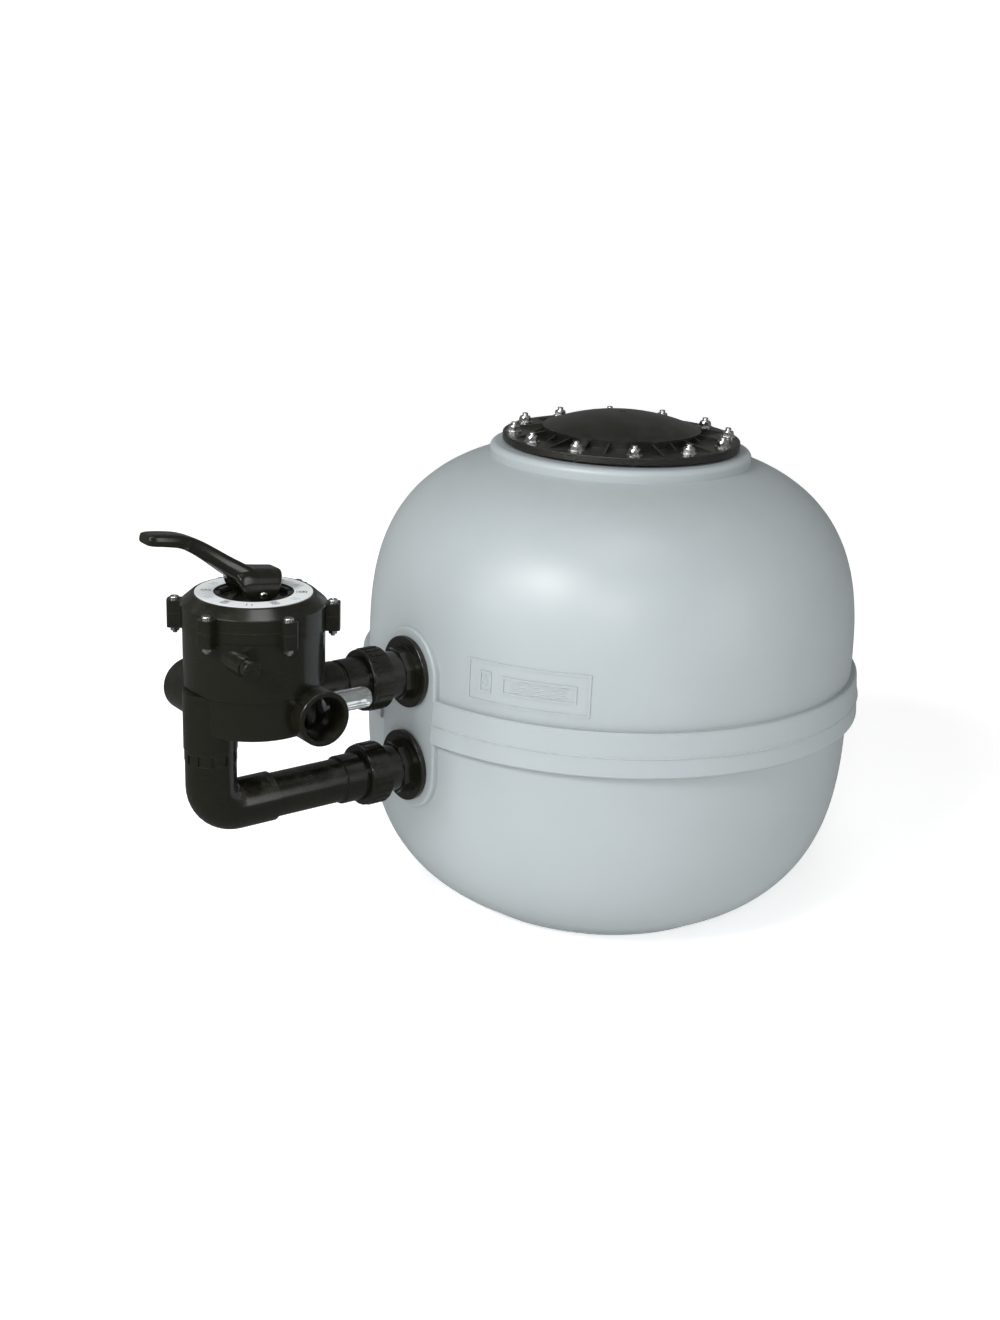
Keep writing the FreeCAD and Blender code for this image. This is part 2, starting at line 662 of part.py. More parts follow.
def lid_nuts():
    base = turned(0, STUD_CIRCLE_R, RIM_TOP_Z + M8_WASHER_T)
    nut = hex_nut(M8_FLAT, M8_NUT_H, STUD_R + 0.25, base)
    return Part.makeCompound(spread(nut, STUD_COUNT, ORIGIN, STUD_START))


# ---------------------------------------------------------------- connectors and unions
def out_from_pad(w, z):
    return spot(PAD_A + w, 0, z)


def tank_connector(z):
    shank = cylinder(SHANK_R, SHANK_W + SEAL_T, out_from_pad(-SHANK_W, z), OUT)
    flange = cylinder(FLANGE_R, FLANGE_T, out_from_pad(SEAL_T, z), OUT)
    rim = [e for e in flange.Edges if e.BoundBox.XMax < -PAD_A - FLANGE_W + 0.1]
    flange = flange.makeFillet(1.5, rim)
    lip = cylinder(FLANGE_RING_R, FLANGE_RING_T, out_from_pad(FLANGE_W, z), OUT)
    octagon = regular(OCTAGON_FLAT, 8, OCTAGON_T, out_from_pad(OCTAGON_W, z), OUT)
    neck = cylinder(NECK_R, NECK_T, out_from_pad(NECK_W, z), OUT)
    male = cylinder(MALE_R, MALE_T, out_from_pad(MALE_W, z), OUT)
    solid = fused([shank, flange, lip, octagon, neck, male])
    bore = cylinder(INNER_BORE_R, SHANK_W + FACE_W, out_from_pad(-SHANK_W, z), OUT)
    half = UNION_RING_SECTION + O_RING_GAP
    depth = 2.0 * UNION_RING_SECTION - O_RING_SQUEEZE + O_RING_GAP
    groove_start = out_from_pad(FACE_W - depth, z)
    groove = tube(UNION_RING_R + half, UNION_RING_R - half, depth, groove_start, OUT)
    return minus(solid, [bore, groove])


def union_o_ring(z):
    minor = UNION_RING_SECTION
    whole = ring(UNION_RING_R, minor, out_from_pad(FACE_W - minor + O_RING_SQUEEZE, z), OUT)
    face = cylinder(FLANGE_R, 2.0 * minor, out_from_pad(FACE_W, z), OUT)
    return whole.cut(face)


def outer_seal(z):
    return tube(FLANGE_R - 1.5, SHANK_R + SHANK_GAP, SEAL_T, out_from_pad(0, z), OUT)


def inner_seal(z):
    return tube(LOCKNUT_FLAT / 2.0, SHANK_R + SHANK_GAP, SEAL_T, out_from_pad(-PAD_THICK - SEAL_T, z), OUT)


def locknut(z):
    base = out_from_pad(-PAD_THICK - SEAL_T - LOCKNUT_T, z)
    nut = regular(LOCKNUT_FLAT, 8, LOCKNUT_T, base, OUT)
    return nut.cut(cylinder(SHANK_R + 0.2, LOCKNUT_T, base, OUT))


def union_nut(z):
    """Ribbed ring nut that draws the tailpiece onto the connector."""
    start = MALE_W + 1.0
    length = NUT_END_W - start
    body = cylinder(UNION_NUT_R, length, out_from_pad(start, z), OUT)
    outer = [e for e in body.Edges if e.BoundBox.XMax < -PAD_A - NUT_END_W + 0.1]
    body = body.makeFillet(3.0, outer)
    rib_l = length - 9.0
    base = out_from_pad(start + 2.0, z)
    band = cylinder(UNION_NUT_R + UNION_RIB_H, rib_l, base, OUT)
    width = math.pi * UNION_NUT_R / UNION_RIBS
    corner = Vector(base.x - rib_l - 1.0, -width / 2.0, z + UNION_NUT_R + 0.05)
    notch = Part.makeBox(rib_l + 2.0, width, 4.0, corner)
    notches = []
    for i in range(UNION_RIBS):
        one = notch.copy()
        one.rotate(base, OUT, 360.0 * i / UNION_RIBS)
        notches.append(one)
    band = minus(band, notches)
    solid = fused([body, band])
    thread = cylinder(MALE_R + UNION_GAP, length - UNION_LIP, out_from_pad(start, z), OUT)
    lip = cylinder(SOCKET_R + UNION_GAP, length, out_from_pad(start, z), OUT)
    return minus(solid, [thread, lip])


def tailpiece(z):
    start = out_from_pad(TAIL_W, z)
    flange = cylinder(MALE_R - 0.1, TAIL_FLANGE_T, start, OUT)
    socket = cylinder(SOCKET_R, TAIL_END_W - TAIL_W, start, OUT)
    edge = [e for e in socket.Edges if e.BoundBox.XMax < -PAD_A - TAIL_END_W + 0.1]
    solid = fused([flange, socket.makeChamfer(0.8, edge)])
    bore = cylinder(INNER_BORE_R, TAIL_END_W - TAIL_W, start, OUT)
    seat = cylinder(SOCKET_BORE_R, SOCKET_DEPTH, out_from_pad(TAIL_STOP_W, z), OUT)
    return minus(solid, [bore, seat])


def upper_nipple():
    start = PAD_A + TAIL_STOP_W + 0.5
    end = VALVE_SOCKET_A + SOCKET_DEPTH - 0.5
    return tube(PIPE_R, PIPE_R - PIPE_WALL, end - start, spot(start, 0, UPPER_PORT_Z), OUT)


def lower_pipe():
    start = PAD_A + TAIL_STOP_W + 0.5
    end = RISER_A - ELBOW_LEG + SOCKET_DEPTH - 0.5
    return tube(PIPE_R, PIPE_R - PIPE_WALL, end - start, spot(start, 0, LOWER_PORT_Z), OUT)


def bend(corner_a, z, radius, bend_r, towards_tank_end, vertical_end, upwards):
    """Solid quarter bend: a level leg towards the tank and an upright leg."""
    sign = 1.0 if upwards else -1.0
    level = cylinder(radius, corner_a - bend_r - towards_tank_end, spot(towards_tank_end, 0, z), OUT)
    start = spot(corner_a, 0, z + sign * bend_r)
    upright = cylinder(radius, abs(vertical_end - start.z), start, UP * sign)
    centre = spot(corner_a - bend_r, 0, z + sign * bend_r)
    face = Part.Face(Part.Wire(Part.makeCircle(radius, start, UP)))
    quarter = face.revolve(centre, Vector(0, -sign, 0), 90)
    return fused([level, upright, quarter])


def riser_elbow():
    end_a = RISER_A - ELBOW_LEG
    solid = bend(RISER_A, LOWER_PORT_Z, SOCKET_R, ELBOW_BEND_R, end_a, ELBOW_TOP_Z, True)
    way = bend(RISER_A, LOWER_PORT_Z, PIPE_R - PIPE_WALL, ELBOW_BEND_R, end_a, ELBOW_TOP_Z, True)
    level = cylinder(SOCKET_BORE_R, SOCKET_DEPTH, spot(end_a, 0, LOWER_PORT_Z), OUT)
    upright = cylinder(SOCKET_BORE_R, RISER_DEPTH, spot(RISER_A, 0, ELBOW_TOP_Z - RISER_DEPTH))
    return minus(solid, [way, level, upright])


def riser_adapter():
    """Threaded adapter between the elbow and the valve, with a notched spanner ring."""
    low = ELBOW_TOP_Z - RISER_DEPTH + 0.5
    ring_z = ELBOW_TOP_Z + SOCKET_GAP
    spigot = cylinder(PIPE_R, ring_z - low, spot(RISER_A, 0, low))
    collar = cylinder(SOCKET_R + 0.5, NOTCH_RING_H, spot(RISER_A, 0, ring_z))
    depth = 2.2
    corner = spot(RISER_A + SOCKET_R + 2.0, 2.6, ring_z - 1.0)
    notch = Part.makeBox(depth + 1.5, 5.2, NOTCH_RING_H - 2.0, corner)
    collar = minus(collar, spread(notch, NOTCH_COUNT, spot(RISER_A, 0, 0), 8.0))
    shank_r = BOSS_R - BOSS_WALL - 0.2
    shank = cylinder(shank_r, BOSS_THREAD_L - 1.0, spot(RISER_A, 0, BOSS_BOTTOM_Z))
    solid = fused([spigot, collar, shank])
    total = BOSS_BOTTOM_Z + BOSS_THREAD_L - low
    return solid.cut(cylinder(PORT_BORE_R, total, spot(RISER_A, 0, low)))


# ---------------------------------------------------------------- valve body
def lug(base_z, height):
    """Ear for a cover screw, on the side of the body that faces -X before turning."""
    reach = BODY_R + LUG_OUT
    box = Part.makeBox(LUG_OUT + 8.0, LUG_W, height, spot(VALVE_A + reach, LUG_W / 2.0, base_z))
    outer = []
    for e in box.Edges:
        b = e.BoundBox
        if b.ZLength > height / 2.0 and b.XMax < -VALVE_A - reach + 0.1:
            outer.append(e)
    return box.makeFillet(LUG_CORNER, outer)


def spoke(reach, width, z, height):
    """Bar from the valve's axis towards -X."""
    return Part.makeBox(reach, width, height, spot(VALVE_A + reach, width / 2.0, z))


def chamber_cuts():
    """Six chambers under the deck, parted by webs, and a window over each one."""
    floor_z = BODY_BOTTOM_Z + FLOOR_T
    ring_space = tube(CHAMBER_R, HUB_R, DECK_Z - floor_z, valve_at(floor_z))
    reach = CHAMBER_R + BODY_WALL
    web = spoke(reach, WEB_T, floor_z, DECK_Z - floor_z)
    rooms = minus(ring_space, spread(web, LUG_COUNT, valve_at(0), WEB_START))
    window_ring = tube(CHAMBER_R - WINDOW_EDGE, WINDOW_IN, DECK_T + 2.0, valve_at(DECK_Z - 1.0))
    bar = spoke(reach, WEB_T + 2.0 * WINDOW_LEDGE, DECK_Z - 1.0, DECK_T + 2.0)
    windows = minus(window_ring, spread(bar, LUG_COUNT, valve_at(0), WEB_START))
    return [rooms, windows]


SIDE_PORTS = (("waste", -PORT_OFFSET, FRONT), ("return", -PORT_OFFSET, BACK), ("pump", PORT_OFFSET, BACK))


def side_port(offset, way, radius, start, end):
    """Cylinder along a side port's axis, between two distances from the valve's middle."""
    base = Vector(-VALVE_A - offset, way.y * start, UPPER_PORT_Z)
    return cylinder(radius, end - start, base, way)


def valve_body():
    step_low = DECK_Z - 3.5
    outline = [(0, BODY_BOTTOM_Z), (BODY_LOW_R - 6.0, BODY_BOTTOM_Z)]
    outline += [(BODY_LOW_R - 1.8, BODY_BOTTOM_Z + 1.8), (BODY_LOW_R, BODY_BOTTOM_Z + 6.0)]
    outline += [(BODY_LOW_R, step_low), (BODY_R - 0.8, step_low + 0.6), (BODY_R, step_low + 2.2)]
    rim_z = SEAM_Z - BODY_RIM_H
    outline += [(BODY_R, rim_z), (BODY_R + BODY_RIM_PROUD, rim_z + 1.5)]
    outline += [(BODY_R + BODY_RIM_PROUD, SEAM_Z), (0, SEAM_Z)]
    shape = [spun(outline, valve_at(0))]
    shape += spread(lug(SEAM_Z - LUG_H_LOW, LUG_H_LOW), LUG_COUNT, valve_at(0), LUG_START)
    for _, offset, way in SIDE_PORTS:
        pipe = side_port(offset, way, PORT_R, PORT_START, PORT_REACH)
        mouth = [e for e in pipe.Edges if abs(e.BoundBox.Center.y - way.y * PORT_REACH) < 0.1]
        shape.append(pipe.makeFillet(1.2, mouth))
    stub = cylinder(SOCKET_R, TANK_STUB + 20.0, spot(VALVE_SOCKET_A, 0, UPPER_PORT_Z), OUT)
    shape.append(stub)
    shape.append(cylinder(BOSS_R, DECK_Z - 4.0 - BOSS_BOTTOM_Z, spot(RISER_A, 0, BOSS_BOTTOM_Z)))
    gauge = Vector(-VALVE_A - GAUGE_SIDE, -30.0, GAUGE_Z)
    shape.append(cylinder(GAUGE_BOSS_R, GAUGE_REACH - 30.0, gauge, FRONT))
    reach = PORT_R - PORT_BORE_R
    glass_boss = Vector(-GLASS_A + GLASS_BOSS_L - reach, -GLASS_Q, UPPER_PORT_Z)
    shape.append(cylinder(GLASS_R + GLASS_BOSS_MARGIN, reach, glass_boss, BACKWARD))
    solid = fused(shape)

    cavity = cylinder(CAVITY_R, SEAM_Z - DECK_TOP_Z + 1.0, valve_at(DECK_TOP_Z))
    cuts = [cavity] + chamber_cuts()
    inside = cylinder(CHAMBER_R - 1.0, 200.0, valve_at(UPPER_PORT_Z - 100.0))
    for _, offset, way in SIDE_PORTS:
        cuts.append(side_port(offset, way, SOCKET_BORE_R, PORT_REACH - SOCKET_DEPTH, PORT_REACH + 1.0))
        cuts.append(side_port(offset, way, PORT_BORE_R, PORT_START, PORT_REACH).cut(inside))
    cuts.append(cylinder(SOCKET_BORE_R, SOCKET_DEPTH, spot(VALVE_SOCKET_A, 0, UPPER_PORT_Z), OUT))
    inlet = cylinder(PORT_BORE_R, 60.0, spot(VALVE_SOCKET_A, 0, UPPER_PORT_Z), OUT)
    cuts.append(inlet.cut(inside))
    cuts.append(cylinder(BOSS_R - BOSS_WALL, BOSS_THREAD_L, spot(RISER_A, 0, BOSS_BOTTOM_Z)))
    riser_way = cylinder(PORT_BORE_R - 2.0, DECK_Z - 10.0 - BOSS_BOTTOM_Z, spot(RISER_A, 0, BOSS_BOTTOM_Z))
    cuts.append(riser_way)
    cuts.append(cylinder(GAUGE_SHANK_R + 0.2, GAUGE_REACH - 20.0, gauge + Vector(0, 10.0, 0), FRONT))
    glass_bore = cylinder(GLASS_SPIGOT_R + THREAD_GAP, reach + 20.0, glass_boss - BACKWARD * 20.0, BACKWARD)
    cuts.append(glass_bore)
    hole = cylinder(SCREW_R + 0.3, LUG_H_LOW + 2.0, turned(0, BOLT_R, SEAM_Z - LUG_H_LOW - 1.0, VALVE_A))
    cuts += spread(hole, LUG_COUNT, valve_at(0), LUG_START)
    half = COVER_O_R + O_RING_GAP
    depth = 2.0 * COVER_O_R - O_RING_SQUEEZE + O_RING_GAP
    cuts.append(tube(COVER_RING_R + half, COVER_RING_R - half, depth, valve_at(SEAM_Z - depth)))
    return minus(solid, cuts)


def cover_o_ring():
    whole = ring(COVER_RING_R, COVER_O_R, valve_at(SEAM_Z - COVER_O_R + O_RING_SQUEEZE))
    return whole.cut(cylinder(BODY_R + LUG_OUT, 2.0 * COVER_O_R, valve_at(SEAM_Z)))


def valve_cover():
    rim_r = BODY_R + BODY_RIM_PROUD
    shoulder_z = SEAM_Z + LUG_H_TOP + 0.2
    top_r = rim_r - CONE_IN
    outline = [(0, SEAM_Z), (rim_r, SEAM_Z), (rim_r, shoulder_z - 1.0), (rim_r - 0.8, shoulder_z)]
    outline += [(top_r + 0.8, COVER_TOP_Z - 0.7), (top_r - 0.4, COVER_TOP_Z), (0, COVER_TOP_Z)]
    shape = [spun(outline, valve_at(0))]
    shape += spread(lug(SEAM_Z, LUG_H_TOP), LUG_COUNT, valve_at(0), LUG_START)
    shape.append(cylinder(CAVITY_R - 0.3, 5.0, valve_at(SEAM_Z - 5.0)))
    solid = fused(shape)
    roof = COVER_UNDER_Z
    room_r = CAVITY_R - 5.0
    inner = [(0, SEAM_Z - 6.0), (room_r, SEAM_Z - 6.0), (room_r, roof - 4.0), (room_r - 6.0, roof), (0, roof)]
    well = cylinder(WELL_R, WELL_DEPTH + 1.0, valve_at(WELL_Z))
    ledge = tube(LABEL_IN, WELL_R - 1.0, NOTCH_RIM_DROP + 1.0, valve_at(COVER_TOP_Z - NOTCH_RIM_DROP))
    cuts = [spun(inner, valve_at(0)), well, ledge]
    cuts.append(cylinder(STEM_R + STEM_GAP, 40.0, valve_at(roof - 5.0)))
    tooth_gap = Part.makeBox(NOTCH_RIM_R - WELL_R + 4.0, 5.0, 6.0,
                             spot(VALVE_A + NOTCH_RIM_R, 2.5, COVER_TOP_Z - NOTCH_RIM_DROP - 3.4))
    cuts += spread(tooth_gap, 2 * LUG_COUNT, valve_at(0), 15.0)
    hole = cylinder(SCREW_R + 0.3, LUG_H_TOP + 2.0, turned(0, BOLT_R, SEAM_Z - 1.0, VALVE_A))
    cuts += spread(hole, LUG_COUNT, valve_at(0), LUG_START)
    return minus(solid, cuts)


def cover_screws():
    top_z = SEAM_Z + LUG_H_TOP
    low_z = SEAM_Z - LUG_H_LOW - SCREW_NUT_H - 2.5
    shank = cylinder(SCREW_R, top_z - low_z, turned(0, BOLT_R, low_z, VALVE_A))
    head = cylinder(SCREW_HEAD_R, SCREW_HEAD_H, turned(0, BOLT_R, top_z, VALVE_A))
    head = head.makeFillet(1.8, [e for e in head.Edges if e.BoundBox.ZMin > top_z + 1.0])
    screw = fused([shank, head])
    for way in (0, 1):
        size = (6.4, 1.3) if way == 0 else (1.3, 6.4)
        corner = turned(0, BOLT_R, top_z + SCREW_HEAD_H - 1.6, VALVE_A)
        corner = corner - Vector(size[0] / 2.0, size[1] / 2.0, 0)
        screw = screw.cut(Part.makeBox(size[0], size[1], 3.0, corner))
    return Part.makeCompound(spread(screw, LUG_COUNT, valve_at(0), LUG_START))


def cover_nuts():
    base = turned(0, BOLT_R, SEAM_Z - LUG_H_LOW - SCREW_NUT_H, VALVE_A)
    nut = regular(SCREW_NUT_FLAT, 6, SCREW_NUT_H, base)
    nut = nut.cut(cylinder(SCREW_R + 0.2, SCREW_NUT_H, base))
    return Part.makeCompound(spread(nut, LUG_COUNT, valve_at(0), LUG_START))


def position_label():
    return tube(LABEL_OUT, LABEL_IN, LABEL_T, valve_at(COVER_TOP_Z))


# ---------------------------------------------------------------- rotor and spring
def sector(angle, width, r_in, r_out, z, height):
    """Solid sector round the valve's axis, centred on an angle from -X towards -Y."""
    t = math.radians(angle - width / 2.0)
    way = Vector(-math.cos(t), -math.sin(t), 0)
    corners = [valve_at(z) + way * r_in, valve_at(z) + way * r_out]
    corners.append(corners[1] + Vector(0, 0, height))
    corners.append(corners[0] + Vector(0, 0, height))
    return Part.Face(Part.makePolygon(corners + [corners[0]])).revolve(valve_at(z), UP, width)


def spider_gasket():
    base = valve_at(DECK_TOP_Z)
    rim = tube(CAVITY_R - 1.0, CHAMBER_R - WINDOW_EDGE, SPIDER_T, base)
    hub = cylinder(WINDOW_IN, SPIDER_T, base)
    bar = spoke(CHAMBER_R, WEB_T + WINDOW_LEDGE, DECK_TOP_Z, SPIDER_T)
    return fused([rim, hub] + spread(bar, LUG_COUNT, valve_at(0), WEB_START))


def rotor():
    r = CAVITY_R - ROTOR_SIDE_GAP
    plate = cylinder(r, ROTOR_PLATE, valve_at(ROTOR_Z))
    hub_h = SPRING_SEAT_Z - ROTOR_Z
    hub = cylinder(ROTOR_HUB_R, hub_h, valve_at(ROTOR_Z))
    hood = sector(180.0, 128.0, 0.0, r - 2.0, ROTOR_Z, ROTOR_HOOD_H)
    stem_top = PIN_Z + STEM_OVER
    stem = cylinder(STEM_R, stem_top - ROTOR_Z, valve_at(ROTOR_Z))
    stem = stem.makeFillet(3.0, [e for e in stem.Edges if e.BoundBox.ZMin > stem_top - 0.1])
    solid = fused([plate, hub, hood, stem])
    cuts = [sector(180.0, 112.0, WINDOW_IN, r - 8.0, ROTOR_Z - 1.0, ROTOR_HOOD_H - 3.0)]
    cuts.append(sector(0.0, 44.0, ROTOR_HUB_R + 2.0, r - 9.0, ROTOR_Z - 1.0, ROTOR_PLATE + 2.0))
    flat_z = WELL_Z - STEM_FLAT_DROP
    for low_y in (STEM_FLAT, -STEM_FLAT - STEM_R):
        corner = Vector(VALVE_X - STEM_R, low_y, flat_z)
        cuts.append(Part.makeBox(2.0 * STEM_R, STEM_R, stem_top - flat_z + 1.0, corner))
    cuts.append(cylinder(PIN_R, 2.0 * FORK_HALF, Vector(VALVE_X, -FORK_HALF, PIN_Z), BACK))
    groove_r = STEM_R - 2.0 * STEM_RING_SECTION
    height = 2.0 * (STEM_RING_SECTION + O_RING_GAP)
    cuts.append(tube(STEM_R + 1.0, groove_r, height, valve_at(STEM_RING_Z - height / 2.0)))
    return minus(solid, cuts)


def stem_o_ring():
    return ring(STEM_R - STEM_RING_SECTION + O_RING_GAP, STEM_RING_SECTION, valve_at(STEM_RING_Z))


def rotor_spring():
    """Open coil that holds the rotor on its gasket."""
    top_z = COVER_UNDER_Z - SPRING_WASHER_T
    low = SPRING_SEAT_Z + SPRING_WIRE_R + 0.1
    high = top_z - SPRING_WIRE_R - 0.1
    pitch = (high - low) / SPRING_TURNS
    helix = Part.makeHelix(pitch, high - low, SPRING_R)
    section = Part.Wire(Part.makeCircle(SPRING_WIRE_R, Vector(SPRING_R, 0, 0), Vector(0, 1, 0)))
    coil = Part.Wire(helix.Edges).makePipeShell([section], True, True)
    coil.translate(valve_at(low))
    return coil


def spring_washer():
    base = valve_at(COVER_UNDER_Z - SPRING_WASHER_T)
    return tube(SPRING_R + 5.0, STEM_R + 2.0, SPRING_WASHER_T, base)


def slip_washer():
    return tube(SLIP_WASHER_R, STEM_R + 1.2, SLIP_WASHER_T, valve_at(WELL_Z))


def handle_pin():
    half = FORK_HALF + 2.0
    pin = cylinder(PIN_R, 2.0 * half, Vector(VALVE_X, -half, PIN_Z), BACK)
    return pin.makeFillet(1.6, [e for e in pin.Edges if len(e.Vertexes) == 1])


# ---------------------------------------------------------------- handle
def side_point(u, rise):
    """Point in the handle's middle plane: u from the valve's axis, rise above the pin."""
    return Vector(-VALVE_A - u, 0, PIN_Z + rise)


def arm_section(u, rise, lean, thick, width, corner):
    """Rounded rectangle across the arm; lean is the arm's slope there in degrees."""
    h = thick / 2.0
    w = width / 2.0
    c = min(corner, h - 0.5)
    k = c * (1.0 - math.sqrt(0.5))
    outline = [(-w + c, h), (w - c, h), (w - k, h - k), (w, h - c), (w, c - h), (w - k, k - h)]
    outline += [(w - c, -h), (c - w, -h), (k - w, k - h), (-w, c - h), (-w, h - c), (k - w, h - k)]
    t = math.radians(lean)
    across = Vector(math.sin(t), 0, math.cos(t))
    points = [side_point(u, rise) + across * b + Vector(0, a, 0) for a, b in outline]
    edges = []
    for i in (0, 3, 6, 9):
        edges.append(line(points[i], points[i + 1]))
        edges.append(arc(points[i + 1], points[i + 2], points[(i + 3) % 12]))
    return Part.Wire(edges)


def handle():
    """Forked lever: two cheeks on the pin, and an arm that rises towards -X to a flat grip."""
    sections = [arm_section(*ARM_ROOT)]
    for share, height, *form in ARM_SECTIONS:
        sections.append(arm_section(share * HANDLE_REACH, height * HANDLE_RISE, *form))
    arm = Part.makeLoft(sections, True, False)
    base = -PIN_RISE + HEEL_GAP
    outline = [(-HEEL, base), (HEEL, base), (HEEL + HEEL_RUN, base + HEEL_RISE), *CHEEK]
    outline.append((CHEEK[-1][0] + 5.0, base + 1.6))
    points = [side_point(u, r) for u, r in outline]
    cheek = Part.Face(Part.makePolygon(points + [points[0]]))
    cheek.translate(Vector(0, -FORK_HALF, 0))
    fork = cheek.extrude(Vector(0, 2.0 * FORK_HALF, 0))
    rear = STEM_R + SLOT_SIDE
    corner = side_point(rear + SLOT_FRONT, -PIN_RISE - 1.0) - Vector(0, FORK_SLOT, 0)
    slot = Part.makeBox(2.0 * rear + SLOT_FRONT, 2.0 * FORK_SLOT, PIN_RISE + 1.0 + SLOT_ROOF, corner)
    bore = cylinder(PIN_R + PIN_GAP, 4.0 * FORK_HALF, Vector(VALVE_X, -2.0 * FORK_HALF, PIN_Z), BACK)
    return minus(fused([fork, arm]), [slot, bore])


# ---------------------------------------------------------------- small fittings
def glass_face():
    """Where the sight glass's shoulder stands, in front of its boss on the waste port."""
    return Vector(-GLASS_A + GLASS_BOSS_L + SEAL_T / 2.0, -GLASS_Q, UPPER_PORT_Z)


def sight_glass():
    """Clear blind tube screwed into the waste port on the side that faces the tank."""
    face = glass_face()
    body = cylinder(GLASS_R, GLASS_L, face, BACKWARD)
    far = [e for e in body.Edges if e.BoundBox.XMin > face.x + GLASS_L - 0.1]
    body = body.makeFillet(GLASS_R - 3.5, far)
    base = face - BACKWARD * GLASS_SPIGOT_L
    spigot = cylinder(GLASS_SPIGOT_R, GLASS_SPIGOT_L, base, BACKWARD)
    room = cylinder(GLASS_SPIGOT_R - GLASS_WALL, GLASS_L + GLASS_SPIGOT_L - 3.0, base, BACKWARD)
    return minus(fused([body, spigot]), [room])


def sight_glass_o_ring():
    length = SEAL_T / 2.0
    base = glass_face() - BACKWARD * length
    return tube(GLASS_R - 0.4, GLASS_SPIGOT_R + THREAD_GAP, length, base, BACKWARD)


def gauge_plug():
    base = Vector(-VALVE_A - GAUGE_SIDE, -GAUGE_REACH - 1.0, GAUGE_Z)
    start = base + Vector(0, GAUGE_SHANK_L, 0)
    shank = cylinder(GAUGE_SHANK_R, GAUGE_SHANK_L + 1.0, start, FRONT)
    head = cylinder(GAUGE_HEAD_R, GAUGE_HEAD_L, base, FRONT)
    head = head.makeFillet(1.2, [e for e in head.Edges if len(e.Vertexes) == 1])
    slot = Part.makeBox(2.0 * GAUGE_HEAD_R + 2.0, 3.2, 2.2,
                        base + Vector(-GAUGE_HEAD_R - 1.0, -GAUGE_HEAD_L - 0.1, -1.1))
    return fused([shank, head]).cut(slot)


def gauge_plug_o_ring():
    base = Vector(-VALVE_A - GAUGE_SIDE, -GAUGE_REACH, GAUGE_Z)
    return tube(GAUGE_HEAD_R - 0.8, GAUGE_SHANK_R + 0.1, 1.0, base, FRONT)


def drain_plug():
    face = Vector(drain_face_x() + SEAL_T, 0, DRAIN_Z)
    shank_l = DRAIN_SHANK_L + SEAL_T
    shank = cylinder(DRAIN_BORE_R - THREAD_GAP, shank_l, face - BACKWARD * shank_l, BACKWARD)
    flange = cylinder(DRAIN_HEAD_R, DRAIN_FLANGE_T, face, BACKWARD)
    grip_l = DRAIN_HEAD_L - DRAIN_FLANGE_T
    grip = regular(DRAIN_GRIP_FLAT, 6, grip_l, face + BACKWARD * DRAIN_FLANGE_T, BACKWARD)
    return fused([shank, flange, grip])


def drain_seal():
    face = Vector(drain_face_x() + FACE_GAP, 0, DRAIN_Z)
    return tube(DRAIN_HEAD_R - 1.0, DRAIN_BORE_R + 0.1, SEAL_T - FACE_GAP, face, BACKWARD)


# ---------------------------------------------------------------- inner pipework
def inner_tube(start, length, way):
    return tube(INNER_PIPE_R, INNER_PIPE_R - INNER_PIPE_WALL, length, start, way)


def inner_elbow(corner_a, z, upwards):
    sign = 1.0 if upwards else -1.0
    r = INNER_BORE_R + INNER_SOCKET_WALL
    level = cylinder(r, INNER_LEG, spot(corner_a, 0, z), OUT)
    upright = cylinder(r, INNER_LEG, spot(corner_a, 0, z), UP * sign)
    knee = Part.makeSphere(r, spot(corner_a, 0, z))
    solid = fused([level, upright, knee])
    way_r = INNER_PIPE_R - INNER_PIPE_WALL
    cuts = [cylinder(way_r, INNER_LEG, spot(corner_a, 0, z), OUT)]
    cuts.append(cylinder(way_r, INNER_LEG, spot(corner_a, 0, z), UP * sign))
    cuts.append(Part.makeSphere(way_r, spot(corner_a, 0, z)))
    seat = INNER_LEG - r + 2.0
    cuts.append(cylinder(INNER_BORE_R, seat, spot(corner_a + INNER_LEG - seat, 0, z), OUT))
    cuts.append(cylinder(INNER_BORE_R, seat, spot(corner_a, 0, z + sign * (INNER_LEG - seat)), UP * sign))
    return minus(solid, cuts)


def inner_seat():
    """Distance from an inner elbow's corner to where its pipes stop."""
    return INNER_BORE_R + INNER_SOCKET_WALL - 1.5


def upper_inner_pipe():
    start = PAD_A - DIFFUSER_A + inner_seat()
    end = PAD_A - SHANK_W + INNER_PLUG_L
    return inner_tube(spot(start, 0, UPPER_PORT_Z), end - start, OUT)


def diffuser_riser():
    low = UPPER_PORT_Z + inner_seat()
    high = DIFFUSER_Z - DIFFUSER_H + 14.0
    return inner_tube(spot(PAD_A - DIFFUSER_A, 0, low), high - low, UP)


